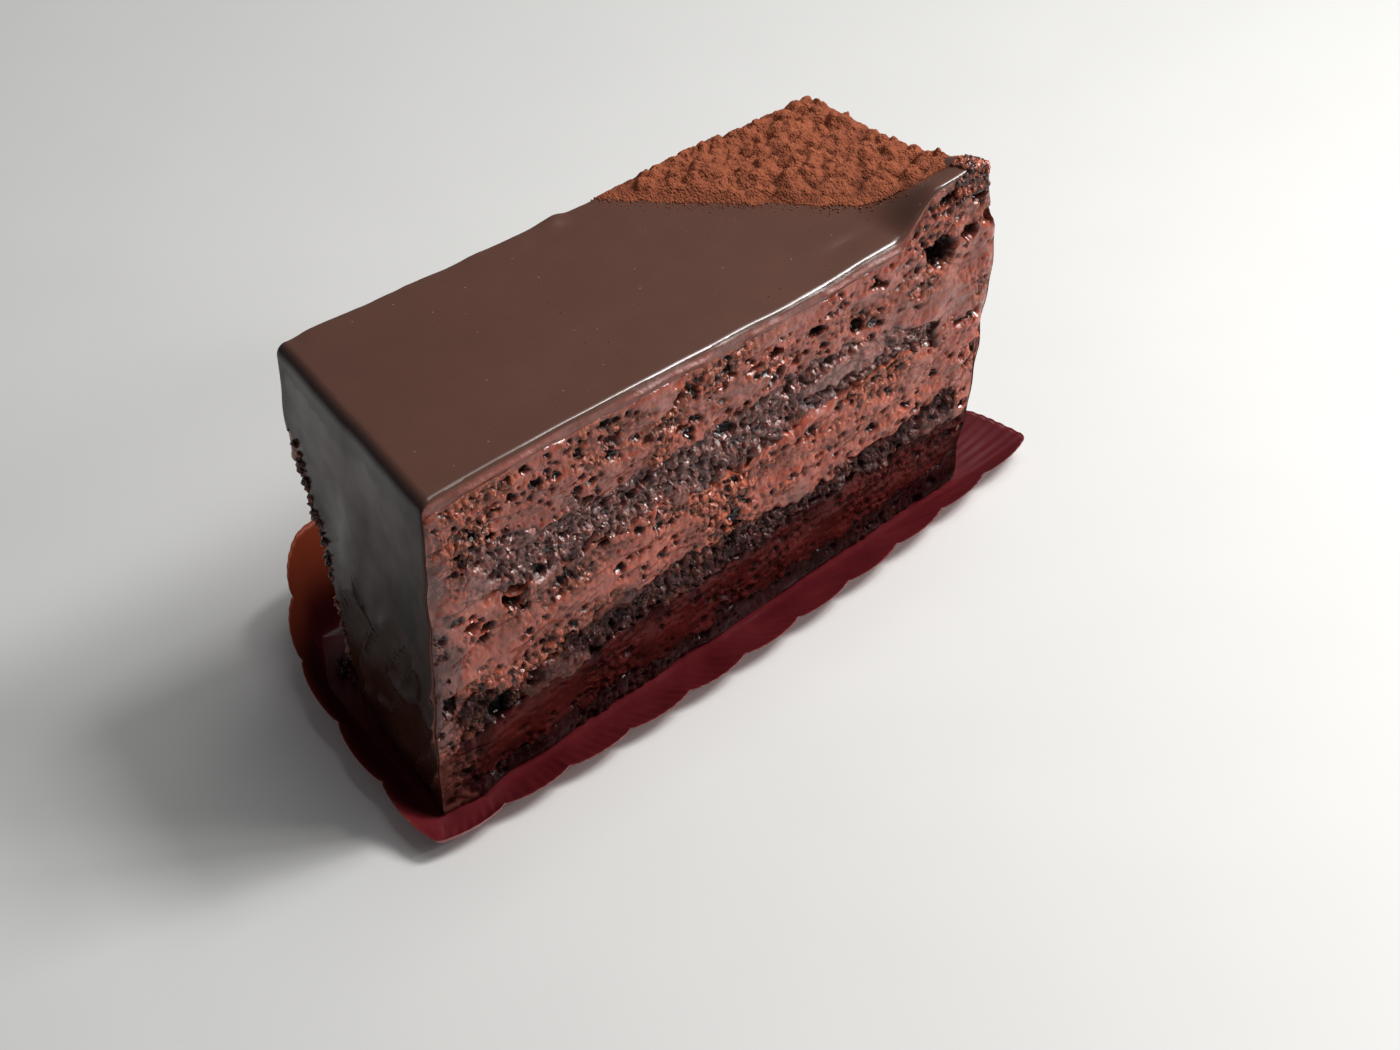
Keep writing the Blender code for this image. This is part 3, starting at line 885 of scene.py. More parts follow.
def arch_line(ends, cover, feet, radii, steps):
    """A line up the left side, over the top and down the right side, as s and z of u and t."""
    side, corner, along = steps
    total = 2 * (side + corner) + along

    def line(u, t):
        k = u * total
        mirrored = k > total / 2
        k = np.where(mirrored, total - k, k)
        end = np.where(mirrored, ends[1], ends[0])
        inward = np.where(mirrored, -1.0, 1.0)
        radius = np.where(mirrored, radii[1], radii[0])
        foot = np.where(mirrored, feet[1](end, t), feet[0](end, t))
        centre = end + inward * radius
        shoulder = cover(centre, t) - radius
        turn = math.pi / 2.0 * np.clip((k - side) / corner, 0.0, 1.0)
        s_side = centre - inward * radius * np.cos(turn)
        z_side = np.where(k <= side, mix(foot, shoulder, k / side), shoulder + radius * np.sin(turn))
        share = (k - side - corner) / along
        share = np.where(mirrored, 1.0 - share, share)
        s_top = mix(ends[0] + radii[0], ends[1] - radii[1], share)
        on_top = k > side + corner
        return np.where(on_top, s_top, s_side), np.where(on_top, cover(s_top, t), z_side)

    return line


def arch_path(inner, outer):
    """An arch between two lines, and each point's gaps to the inner and to the outer line."""

    def path(u, t, w):
        inner_s, inner_z = inner(u, t)
        outer_s, outer_z = outer(u, t)
        s, z = mix(inner_s, outer_s, w), mix(inner_z, outer_z, w)
        thick = np.hypot(outer_s - inner_s, outer_z - inner_z)
        return s, z, w * thick, (1.0 - w) * thick

    return path


def above(height, lift):
    return lambda s, t: height(s, t) + lift


middle = np.zeros(1)
sponge_depth = upper_top(middle, 0.0) - upper_foot(middle, 0.0)
print(f"the upper sponge is {sponge_depth[0]:.1f} mm thick in the middle")

# %% Layers


def make_layers():
    """All six layers. Numbers are millimetres in the straight slice."""
    left, right = -HALF + END_INSET, HALF - END_INSET
    along = int(LENGTH / STEP)
    floor = lambda s, t: np.full(np.shape(s), PAPER - 0.05)
    under_glaze = lambda s, t: top(s, t) - glaze_depth(s, t) + 0.15
    rows = lambda thickness: max(4, int(thickness / STEP))
    # Name, path, thickness, cut, seed, material, slot, whether broken, sunken rim, relief.
    slabs = (
        ("base_sponge_cut", slab_path(left, right, floor, above(base_top, 0.15), 61),
         3.6, mousse_cut, 610, base_look, "sponge", True, 0.3, 0.45),
        ("lower_mousse_cut", slab_path(left, right, above(base_top, -0.2), above(lower_foot, 0.2), 62),
         9.0, mousse_cut, 620, low_mousse_look, "mousse", True, 0.3, 0.55),
        ("lower_sponge_cut",
         slab_path(-HALF + 3.2, HALF - 2.8, above(lower_foot, -0.15), above(lower_top, 0.15), 63, 1.1),
         6.5, sponge_cut, 630, low_sponge_look, "sponge", True, 0.2),
        ("upper_sponge_cut",
         slab_path(-HALF + 4.4, HALF - 8.6, above(upper_foot, -0.15), above(upper_top, 0.15), 64, 1.3),
         9.0, sponge_cut, 640, sponge_look, "sponge", False, 0.2),
    )
    pieces = [
        layer_piece(name, path, (along, rows(thick)), *rest) for name, path, thick, *rest in slabs
    ]
    steps = (int(24.0 / STEP / 1.3), 6, along)
    total = 2 * (steps[0] + steps[1]) + steps[2]
    bends = (SPONGE_ROUND - 0.4,) * 2
    rounds = [radius - GLAZE_SIDE + 0.1 for radius in GLAZE_ROUNDS]
    # Name, foot, inner ends and cover, outer cover and rounds, thickness, seed, material, broken, lap.
    arches = (
        ("middle_mousse_cut", lower_foot, (-HALF + 4.0, HALF - 3.6), above(lower_top, -0.5),
         above(upper_foot, 0.2), (0.4, 0.4), 11.0, 650, middle_mousse_look, True, 0.0),
        ("upper_mousse_cut", upper_foot, (-HALF + 5.6, HALF - 10.4), above(upper_top, -0.55),
         under_glaze, rounds, 12.0, 660, mousse_look, False, 0.25),
    )
    for name, foot, ends, below, cover, radii, thick, seed, look, broken, lap in arches:
        inner = arch_line(ends, below, (foot, foot), bends, steps)
        outer = arch_line((left, right), cover, (foot, foot), radii, steps)
        pieces.append(layer_piece(
            name, arch_path(inner, outer), (total, rows(thick)),
            mousse_cut, seed, look, "mousse", broken, lap=lap,
        ))
    return pieces


layers = make_layers()
print("triangles in the layers:", 2 * sum(len(piece.data.polygons) for piece in layers))

# %% [markdown]
# ## Glaze
#
# The glaze was poured, so its top is nearly a mirror, with faint dents and specks of dust. Where
# the knife passed, its rim is rounded and catches a bright line, and the band below the rim is
# smeared. On the ends it hangs in soft folds and wrinkles, and it is torn at one corner.

# %% The glaze material
GLAZE_TONE = (0.084, 0.037, 0.026)
# The ends of the glaze are painted darker than the top: painted shade.
GLAZE_END_SHADE_TONE = (0.032, 0.014, 0.010)
GLAZE_LOW_TONE = (0.050, 0.018, 0.012)
# Painted shade below the top edge of the ends, and a painted dark reflection in a patch.
GLAZE_SHADE_TONE = (0.010, 0.007, 0.009)
RIM_TONE = (0.20, 0.064, 0.047)
DUST_TONE = (0.30, 0.20, 0.15)


def make_glaze_look():
    """Polished glaze with a smeared rim and rare specks of dust. The ends are painted dark as shade, and
    duller in patches.
    """
    made, tree, shader = new_material("glaze_gloss", GLAZE_TONE, Roughness=0.2, Specular_IOR_Level=0.5)
    band, side, shaded, low = (attribute(tree, title) for title in ("band", "side", "shaded", "low"))
    toned = use_group(tree, blotches, Color=GLAZE_TONE, Scale=60.0, Strength=0.10)
    colour = toned["Color"]
    for share, tone in ((side, GLAZE_END_SHADE_TONE), (low, GLAZE_LOW_TONE), (shaded, GLAZE_SHADE_TONE)):
        colour = blend(tree, share, colour, tone)
    streaked = use_group(tree, blotches, Color=RIM_TONE, Scale=240.0, Strength=0.5)
    colour = blend(tree, band, colour, streaked["Color"])
    place = object_place(tree)
    dust = add(tree, "TexVoronoi", Vector=place, Scale=700.0, Randomness=1.0).outputs
    chosen = add(tree, "TexWhiteNoise", Vector=dust["Color"]).outputs["Value"]
    rare = number(tree, "GREATER_THAN", chosen, 0.84)
    specks = times(tree, times(tree, span(tree, dust["Distance"], 0.10, 0.05), rare), 0.6)
    haze = plus(tree, times(tree, toned["Mask"], 0.12), 0.12)
    ripple = add(tree, "TexNoise", Vector=place, Scale=160.0, Detail=2.0).outputs["Fac"]
    scratch = add(tree, "TexNoise", Vector=place, Scale=1100.0, Detail=3.0).outputs["Fac"]
    height = plus(tree, ripple, times(tree, scratch, times(tree, band, 2.5)))
    finish = {
        "Base Color": blend(tree, specks, colour, DUST_TONE),
        "Roughness": plus(tree, haze, times(tree, band, 0.10)),
        "Normal": bump(tree, shader, height, 0.08, 0.6),
    }
    fill(tree, shader, finish)
    dull = add(tree, "BsdfPrincipled", Specular_IOR_Level=0.3, IOR=1.12, **finish)
    patches = number(tree, "MAXIMUM", span(tree, toned["Mask"], 0.65, 0.95, 0.44, 0.84), shaded)
    both = tree.nodes.new("ShaderNodeMixShader")
    mixed = (times(tree, side, patches), shader.outputs["BSDF"], dull.outputs["BSDF"])
    for socket, value in zip(both.inputs, mixed):
        feed(tree, socket, value)
    feed(tree, tree.nodes["Material Output"].inputs["Surface"], both.outputs["Shader"])
    return made


glaze_look = make_glaze_look()
print("made", glaze_look.name)

# %% The glaze's edges and relief
RIM_ROUND = 0.85
RIM_STEPS = 5
# The depths of the rows below the rim, as lengths in a coat this thick.
COAT = 2.4
BELOW_RIM = (0.98, 1.1, 1.25, 1.4, 1.55, 1.75, 2.0, 2.2, 2.4)
# Dents in the top: s, millimetres behind the front cut, half sizes and depth.
DENTS = ((-8.0, 30.0, 5.0, 1.2, 0.12), (25.0, 4.5, 4.0, 1.3, 0.18))


def glaze_foot_left(t):
    """Where the left end's glaze stops: near the foot at the front, torn high up at the back."""
    torn = ease(t, TORN_START, 1.0)
    ragged = 1.6 * torn * torn_edge(ACROSS * t, 0.0) + 0.5 * torn * swell(ACROSS * t, 0.0, 1.1, 81)
    return GLAZE_FOOT + TORN_HEIGHT * torn + ragged


def glaze_foot_right(t):
    return PAPER + 0.3 + GLAZE_FOOT + 0.8 * torn_edge(ACROSS * t, 20.0)


def rounded(k, size):
    """A quarter round over a corner: the share k from the corner becomes the arc's two offsets."""
    turn = math.pi / 4.0 * (1.0 + k)
    return size * (1.0 - np.cos(turn)), size * (1.0 - np.sin(turn))


def round_rims(t, inset, thick, upright, on_skin):
    """The depth below the skin and the share t, once the corner of skin and cut is an arc."""
    size = np.minimum(RIM_ROUND * (1.0 - 0.55 * upright), 0.45 * thick)
    edge = np.minimum(t, 1.0 - t) * MID_WIDTH
    on_cut = edge < 1e-6
    below_rim = np.clip(inset * COAT / RIM_ROUND, 0.0, 1.0)
    from_rim = np.clip(edge / RIM_ROUND, 0.0, 1.0)
    cut_down, cut_in = rounded(below_rim, size)
    skin_in, skin_down = rounded(from_rim, size)
    on_rim = on_skin & ~on_cut
    depth = np.where(on_cut & (below_rim < 1.0), cut_down, inset * thick)
    depth = np.where(on_rim, skin_down * (from_rim < 1.0), depth)
    moved = np.where(on_cut, cut_in * (below_rim < 1.0), edge)
    moved = np.where(on_rim & (from_rim < 1.0), skin_in, moved) / MID_WIDTH
    return depth, np.where(t < 0.5, moved, 1.0 - moved), on_cut


def skin_relief(s, t, z, side):
    """How far the glaze swells outwards: folds and creases on the ends, dents on the top."""
    y, behind = ACROSS * t, 34.0 * t
    creased = side * ease(z, 30.0, 22.0) * ease(z, 1.0, 6.0) * (s < 0.0) * ease(t, 0.75, 0.45)
    ridge = 1.0 - np.abs(swell(y + 0.55 * z, 0.5 * z, 3.4, 84))
    folds = 0.28 * side * swell(y + 0.25 * z, 0.35 * z, 6.0, 83) + 0.8 * creased * ridge**6
    dents = 0.10 * rough(s * 0.8, y, 14.0, 85) * (1.0 - side) - region(s, behind, DENTS)
    back_edge = ease(behind, 30.0, 33.6) * (1.0 - side)
    return folds + dents + back_edge * (0.35 * rough(s, 0.0, 6.0, 93) + 0.6 * bell(s, -1.0, 1.6))


def glaze_marks(s, t, z, depth, side, on_cut, share):
    """What the material needs: the smeared band on the cuts, and the marks of the ends: painted
    shade, a painted dark reflection in a patch, and a browner foot.
    """
    y = ACROSS * t
    outer_side = side * (share > 0.5)
    ragged = 1.1 * rough(y + 0.3 * z, 0.6 * z, 3.0, 89) + 0.4 * swell(y, z, 0.9, 90)
    # A dark patch on the left end, carried in the shaded mark: a painted dark reflection.
    patch = swell(y, 0.35 * z, 1.7, 92) - ((z - 33.0) / 6.0) ** 2 - ((t - 0.13) / 0.12) ** 2
    patch = 0.8 * ease(patch + 0.5, 0.0, 0.15) * (s < 0.0)
    return {
        "band": np.where(on_cut, ease(depth, 0.3 - 0.28 * side, 0.9 - 0.6 * side), 0.0),
        # The outer skin of the ends, which the material paints darker as shade.
        "side": outer_side,
        "shaded": outer_side * np.maximum(ease(z + 1.5 * ragged, 48.4, 49.2), patch),
        "low": outer_side * ease(z + 2.0 * ragged, 26.0, 8.0),
    }


def cut_relief(s, depth, side):
    """How far the glaze is pressed in on a cut: streaks, and the smear that the knife drew out."""
    streaks = rough(s * 0.3, depth * 2.0, 1.6, 86)
    smeared = np.maximum(ease(rough(s, 0.0, 7.0, 94), -0.25, 0.2), bell(s, -14.0, 6.0)) * (1.0 - side)
    smear = 0.42 * smeared * bell(depth - 0.2 * swell(s, 0.0, 2.5, 95), 1.3, 0.3)
    return 0.10 * streaks * (1.0 - side) + 0.1 + 0.2 * side - smear


print(f"the left end is torn up to {glaze_foot_left(1.0):.1f} mm")

# %% The glaze


def make_glaze():
    """An arch 1.3 to 2.6 mm thick with round rims, gently uneven."""
    fine = 0.45
    steps = (int(46.0 / fine / 1.2), 8, int(88.0 / fine))
    nu = 2 * (steps[0] + steps[1]) + steps[2]
    rim = np.linspace(0.0, RIM_ROUND, RIM_STEPS + 1)
    inside = np.linspace(RIM_ROUND, MID_WIDTH - RIM_ROUND, int(32.0 / (fine * 1.35)))
    rows = np.concatenate([rim[:-1], inside, MID_WIDTH - rim[-2::-1]]) / MID_WIDTH
    depths = np.concatenate([rim, BELOW_RIM]) / COAT
    nw = len(depths) - 1
    (iu, iv, iw), faces = block_skin(nu, len(rows) - 1, nw)
    u, t = iu / nu, rows[iv]
    feet = (lambda s, t: glaze_foot_left(t), lambda s, t: glaze_foot_right(t))
    sunk = lambda s, t: top(s, t) - glaze_depth(s, t)
    inner_ends = (-HALF + GLAZE_SIDE, HALF - GLAZE_SIDE)
    inner_rounds = [radius - GLAZE_SIDE for radius in GLAZE_ROUNDS]
    inner_s, inner_z = arch_line(inner_ends, sunk, feet, inner_rounds, steps)(u, t)
    outer_s, outer_z = arch_line((-HALF, HALF), top, feet, GLAZE_ROUNDS, steps)(u, t)
    thick = np.hypot(outer_s - inner_s, outer_z - inner_z)
    out_s, out_z = (outer_s - inner_s) / thick, (outer_z - inner_z) / thick
    side = np.clip(np.abs(out_s), 0.0, 1.0)
    on_skin = iw == nw
    depth, t, on_cut = round_rims(t, depths[nw - iw], thick, side, on_skin)
    share = 1.0 - depth / thick
    s, z = mix(inner_s, outer_s, share), mix(inner_z, outer_z, share)
    bulge = np.where(on_skin | on_cut, share, 0.0) * skin_relief(s, t, z, side)
    s, z = s + out_s * bulge, z + out_z * bulge
    press = np.where(on_cut, cut_relief(s, depth, side), 0.0)
    notch = (t < 0.5) * (s > 38.0) * named_holes(settle(s, t, z)[:, 0], z, 87)
    marks = glaze_marks(s, t, z, depth, side, on_cut, share)
    points = settle(s, t, z, press + notch, press)
    made = make_object("glaze_coat", points, faces, glaze_look, marks, 50.0)
    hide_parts("glaze")
    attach(made, "root")
    return report(made)


make_glaze()

# %% [markdown]
# ## Cocoa powder
#
# Powder that was sifted on and has drawn a little moisture lies in soft lumps with furrows
# between them. It is dry, so it has no shine at all. One fine surface carries the lumps, and a
# few hundred loose grains lie along its edge.

# %% The powder material


def make_cocoa_look():
    """Dry powder, with painted shade in its furrows."""
    made, tree, shader = new_material(
        "cocoa_dry", (0.26, 0.085, 0.042), Roughness=0.95, Specular_IOR_Level=0.15,
    )
    toned = use_group(tree, blotches, Color=(0.25, 0.072, 0.035), Scale=500.0, Strength=0.45)
    mixed = blend(tree, attribute(tree, "hollow"), toned["Color"], (0.095, 0.026, 0.014))
    feed(tree, shader.inputs["Base Color"], mixed)
    grain = use_group(tree, skin_grain, Noise_Scale=2600.0, Cell_Scale=3200.0, Cells=0.8)
    bump(tree, shader, grain["Height"], 0.22)
    return made


cocoa_look = make_cocoa_look()
print("made", cocoa_look.name)

# %% The powder
COCOA_TIP = (7.0, 0.97)
COCOA_BEND = (36.0, 0.20)
COCOA_END = (47.7, 0.05)


def cocoa_front(s, raggedness=1.0):
    """The share of the width at which the powder starts: two straight lines that meet at the bend."""
    first = (s - COCOA_TIP[0]) / (COCOA_BEND[0] - COCOA_TIP[0])
    second = (s - COCOA_BEND[0]) / (COCOA_END[0] - COCOA_BEND[0])
    slope = mix(COCOA_TIP[1], COCOA_BEND[1], first) + 0.02 * cocoa_lump(s, 0.0) * first
    ragged = 0.014 * swell(s, 0.0, 1.6, 91) + 0.008 * swell(s, 0.0, 0.6, 92)
    straight = np.where(s < COCOA_BEND[0], slope, mix(COCOA_BEND[1], COCOA_END[1], second))
    return straight + ragged * raggedness


def shoulder_drop(s):
    """How far the skin has come down round the right end's upper edge."""
    bend = np.clip(s - (HALF - SHOULDER), 0.0, SHOULDER - 0.1)
    return SHOULDER - np.sqrt(SHOULDER**2 - bend**2)


def powder_height(s, y):
    """Lumps of about 3, 1.5 and 0.8 mm with creases between them, over a smooth swell."""
    total = 0.7 * rough(s * 0.8, y, 6.0, 99) + 0.2 * rough(s, y, 0.5, 98) - 0.5
    for size, pitch, seed in ((1.5, 3.2, 94), (1.0, 1.6, 96), (0.4, 0.8, 97)):
        sway = 0.25 * pitch * swell(s, y, pitch, seed + 30)
        near, _, share = cells(s * 0.85 + sway, y * 1.1 - sway, pitch, seed)
        total = total + size * (1.0 - 1.5 * near**2) * (0.35 + share)
    return total


def make_cocoa():
    """The powder: a thin block on the glaze, thinning out towards its front edge."""
    fine = 0.21
    nu, nv = int(38.0 / fine), int(26.0 / fine)
    (iu, iv, iw), faces = block_skin(nu, nv, 1)
    s, v = mix(COCOA_TIP[0], COCOA_END[0], iu / nu), iv / nv
    start = np.minimum(cocoa_front(s, np.exp(-30.0 * v)), 0.965)
    t = mix(start, 0.99, v)
    width = width_at(s)
    lumps = powder_height(s, t * width)
    from_front = (t - start) * width
    inside = np.minimum(np.minimum(from_front, (0.99 - t) * width * 1.2), COCOA_END[0] - s + 0.2)
    rise = np.sqrt(np.clip(inside / 2.0, 0.0, 1.0)) * np.clip(from_front / 4.5, 0.0, 1.0) ** 0.7
    depth = np.maximum(rise * (0.9 + 0.8 * lumps) + 0.28, 0.05)
    z = top(s, t) - shoulder_drop(s) - 0.25 + iw * depth
    # Low between the lumps: the mask for the painted shade in the furrows.
    hollow = ease(lumps, 1.0, -0.4)
    made = make_object("cocoa_dusting", settle(s, t, z), faces, cocoa_look, {"hollow": hollow * 0.8})
    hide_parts("cocoa_powder")
    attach(made, "root")
    return report(made)


make_cocoa()

# %% [markdown]
# ## Loose grains and crumbs
#
# A grain is a tiny lump: the eight triangles of an octahedron, each split in four, with its points
# pushed in and out. Hundreds of them are built as one array and kept as one piece.

# %% Grains


def grain_shape():
    """An octahedron split once, as unit points and triangles: 18 points and 32 faces."""
    corners = np.array([(1, 0, 0), (-1, 0, 0), (0, 1, 0), (0, -1, 0), (0, 0, 1), (0, 0, -1)], float)
    flats = [(0, 2, 4), (2, 1, 4), (1, 3, 4), (3, 0, 4), (2, 0, 5), (1, 2, 5), (3, 1, 5), (0, 3, 5)]
    points, index, faces = [tuple(c) for c in corners], {}, []
    for a, b, c in flats:
        middles = []
        for p, q in ((a, b), (b, c), (c, a)):
            key = (min(p, q), max(p, q))
            if key not in index:
                index[key] = len(points)
                middle = corners[p] + corners[q]
                points.append(tuple(middle / np.linalg.norm(middle)))
            middles.append(index[key])
        ab, bc, ca = middles
        faces += [(a, ab, ca), (ab, b, bc), (ca, bc, c), (ab, bc, ca)]
    return np.array(points), np.array(faces)


def grains(name, places, sizes, look, seed, squash=0.75, stained=0.0):
    """Lumps at these places. A share of them, stained, is dark."""
    draw = np.random.default_rng(seed)
    unit, flats = grain_shape()
    count = len(places)
    stretch = draw.uniform(0.7, 1.25, (count, 1, 3)) * np.array([1.0, 1.0, squash])
    pushed = unit[None] * draw.uniform(0.7, 1.3, (count, len(unit), 1)) * stretch
    turn = draw.uniform(0.0, math.tau, count)
    cos, sin = np.cos(turn)[:, None], np.sin(turn)[:, None]
    x = pushed[..., 0] * cos - pushed[..., 1] * sin
    y = pushed[..., 0] * sin + pushed[..., 1] * cos
    pushed = np.stack([x, y, pushed[..., 2]], axis=-1)
    points = places[:, None, :] + pushed * sizes[:, None, None]
    faces = (flats[None] + len(unit) * np.arange(count)[:, None, None]).reshape(-1, 3)
    hollow = np.repeat(draw.uniform(0.0, 0.5, count), len(unit))
    stain = np.repeat(draw.uniform(0.0, 1.0, count) < stained, len(unit))
    values = {"hollow": hollow, "crumbly": np.ones(len(hollow)), "stain": stain}
    made = make_object(name, points.reshape(-1, 3), faces, look, values)
    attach(made, "root")
    return report(made)


print(len(grain_shape()[1]), "faces a grain")

# %% Loose grains of powder


def scatter_cocoa_grains():
    """Grains along the powder's front edge, thinning out over the glaze."""
    draw = np.random.default_rng(101)
    count = 420
    s = draw.uniform(COCOA_TIP[0] - 1.5, COCOA_BEND[0] + 2.0, count)
    off = draw.exponential(1.1, count)
    t = cocoa_front(s) - (off - 0.4) / 34.0
    sizes = draw.uniform(0.06, 0.20, count) * np.exp(-np.maximum(off - 0.4, 0.0) * 0.22)
    far = 70
    s = np.concatenate([s, draw.uniform(-40.0, 38.0, far)])
    t = np.concatenate([t, draw.uniform(0.04, 0.96, far)])
    sizes = np.concatenate([sizes, draw.uniform(0.04, 0.10, far)])
    t = np.clip(t, 0.01, 0.985)
    places = settle(s, t, top(s, t) + sizes * 0.4)
    return grains("cocoa_grains", places, sizes, cocoa_look, 102)


scatter_cocoa_grains()

# %% [markdown]
# ## The broken corners
#
# At the lower back left corner the slice has crumbled. Its wall is a shell of crumbs on the
# inside of the break, and coarser crumbs hang along the torn edge of the glaze. At the tip of the
# front right corner the glaze has broken away too, and the knob there shows bare crumbs.

# %% Crumbs at the corners


# The share of the width at which the bare wall starts.
WALL_START = 0.36


def make_corner_wall():
    """The bare left side below the torn glaze: a sheet over t and z, pressed in by the break's ball."""
    fine = 0.28
    nu, nv = int(22.0 / fine), int(40.0 / fine)
    (iu, iv, iw), faces = block_skin(nu, 1, nv)
    t = mix(0.992, WALL_START, iu / nu)
    z = mix(PAPER, glaze_foot_left(t) + 1.6, iw / nv)
    s = np.full(len(t), -HALF + END_INSET)
    place = settle(s, t, z)
    centre, halves = CORNER_BREAK
    y_gap, z_gap = (place[:, 1] - centre[1]) / halves[1], (z - centre[2]) / halves[2]
    ball = centre[0] + halves[0] * np.sqrt(np.clip(1.0 - y_gap**2 - z_gap**2, 0.0, 1.0))
    hollow = np.maximum(ball - place[:, 0], 0.0)
    across = ACROSS * t
    crumbs = 0.8 * crumb(across, z, 1.7, 111) + 0.35 * crumb(across, z, 0.75, 112)
    swelling = 0.8 * rough(across, z, 5.0, 113)
    depth = (hollow * 0.92 + crumbs + swelling - 0.35) * ease((t - WALL_START) * 36.0, -0.2, 1.2) + 0.25
    s = s - 0.4 + np.maximum(depth, 0.0) + 1.6 * (iv == 1)
    dark = ease(rough(across, z, 2.2, 114) + 0.3, -0.3, 0.3)
    # The crumbs' seams take the mousse's painted shade of hollows, and each crumb a random darkness.
    values = {"hollow": np.clip(crumbs * 0.9, 0.0, 1.0), "crumbly": np.ones(len(t)), "stain": dark}
    made = make_object("corner_wall", settle(s, t, z), faces[:, ::-1], mousse_look, values)
    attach(made, "root")
    return report(made)


def scatter_corner_crumbs():
    """Crumbs along the torn edge of the glaze, and a few on the paper below it."""
    draw = np.random.default_rng(121)
    count, fallen = 620, 90
    t = 0.94 - 0.33 * draw.uniform(0.0, 1.0, count) ** 1.2
    s = draw.uniform(-HALF - 0.15, -HALF + 2.2, count)
    z = glaze_foot_left(t) + draw.normal(-0.5, 0.75, count)
    sizes = draw.uniform(0.18, 0.62, count)
    edge = settle(s, t, z)
    loose = np.column_stack([
        draw.uniform(-45.5, -38.0, fallen), draw.uniform(2.0, 15.0, fallen), draw.uniform(0.4, 1.0, fallen),
    ])
    places = np.concatenate([edge, loose])
    sizes = np.concatenate([sizes, draw.uniform(0.15, 0.6, fallen)])
    return grains("corner_crumbs", places, sizes, mousse_look, 122, 1.0, 0.72)


def scatter_knob_crumbs():
    """Bare crumbs over the top of the knob and down its cut, where the glaze has broken away."""
    draw = np.random.default_rng(141)
    over, down = 260, 120
    s = np.concatenate([draw.uniform(43.6, 47.7, over), draw.uniform(41.5, 47.6, down)])
    behind = np.concatenate([draw.uniform(0.0, 2.7, over), np.full(down, 0.1)])
    t = behind / width_at(s)
    under = np.concatenate([np.full(over, 0.05), draw.uniform(0.4, 4.4, down)])
    sizes = draw.uniform(0.22, 0.62, over + down)
    places = settle(s, t, top(s, t) - shoulder_drop(s) - under)
    return grains("knob_crumbs", places, sizes, middle_mousse_look, 142, 1.0, 0.55)


make_corner_wall()
scatter_corner_crumbs()
scatter_knob_crumbs()

# %% [markdown]
# ## The paper case
#
# The case is waxed paper, pressed into pleats, with a scalloped edge and pulled-out corners. It is
# one closed sheet: rings of points run out from the middle of the floor to the rim, once on its
# underside and once on its upper side.

# %% The paper material


def make_paper_look():
    """Dark red paper, paler on its outside. On the raised lip a painted warm glow stands in for light coming
    through.
    """
    made, tree, shader = new_material(
        "paper_waxed", (0.14, 0.012, 0.016), Roughness=0.35, Specular_IOR_Level=0.22,
    )
    toned = use_group(tree, blotches, Color=(0.088, 0.008, 0.011), Scale=90.0, Strength=0.45)
    warm = blend(tree, attribute(tree, "lifted_glow"), toned["Color"], (0.40, 0.072, 0.032))
    fill(tree, shader, {
        "Base Color": blend(tree, attribute(tree, "outside"), warm, (0.36, 0.13, 0.13)),
        "Roughness": span(tree, toned["Mask"], 0.5, 1.1, 0.26, 0.5),
    })
    fibres = use_group(tree, skin_grain, Noise_Scale=900.0, Cell_Scale=1200.0, Cells=0.1)
    bump(tree, shader, fibres["Height"], 0.03)
    return made


paper_look = make_paper_look()
print("made", paper_look.name)

# %% Rings of the paper
# The corners of the rim: X, Y and height. Then those of the floor, and each side's bow and scallops.
TIPS = (
    (-53.6, -22.0, 3.2), (57.4, -20.6, 3.2), (50.5, 21.0, 6.5), (-40.0, 27.2, 13.8), (-50.2, 12.6, 7.0),
)
FLOOR = ((-50.2, -18.3), (46.6, -18.3), (42.4, 13.8), (-43.0, 20.2), (-47.4, 12.0))
BOWS = (3.4, -1.8, 3.5, 0.9, 1.2)
SCALLOPS = (11, 4, 9, 2, 3)
SCALLOP_DEPTH = 0.9
LIP_CURVE = 1.35
STEEP_TIP = 2.4
SHEET = 0.14
PLEAT = 1.55
FLOOR_RINGS = (0.25, 0.5, 0.75, 0.9, 1.0)


def paper_loop(steps):
    """Round the case, steps points a scallop: the floor's edge, the rim, the way out and the run."""
    floors, rims, outs, runs = [], [], [], []
    run_before = 0.0
    for side, lobes in enumerate(SCALLOPS):
        share = np.arange(lobes * steps)[:, None] / (lobes * steps)
        after = (side + 1) % len(TIPS)
        start, end = np.array(TIPS[side]), np.array(TIPS[after])
        length = np.linalg.norm((end - start)[:2])
        run = (end - start)[:2] / length
        outward = np.array([run[1], -run[0], 0.0])
        lobe = np.abs(np.sin(math.pi * lobes * share)) ** 0.6
        bow = BOWS[side] * 4.0 * share * (1.0 - share)
        floors.append(mix(np.array(FLOOR[side]), np.array(FLOOR[after]), share))
        rims.append(mix(start, end, share) + outward * (bow + SCALLOP_DEPTH * lobe))
        outs.append(np.repeat(outward[None, :2], len(share), axis=0))
        runs.append(run_before + share[:, 0] * length)
        run_before += length
    return tuple(np.concatenate(part) for part in (floors, rims, outs, runs))


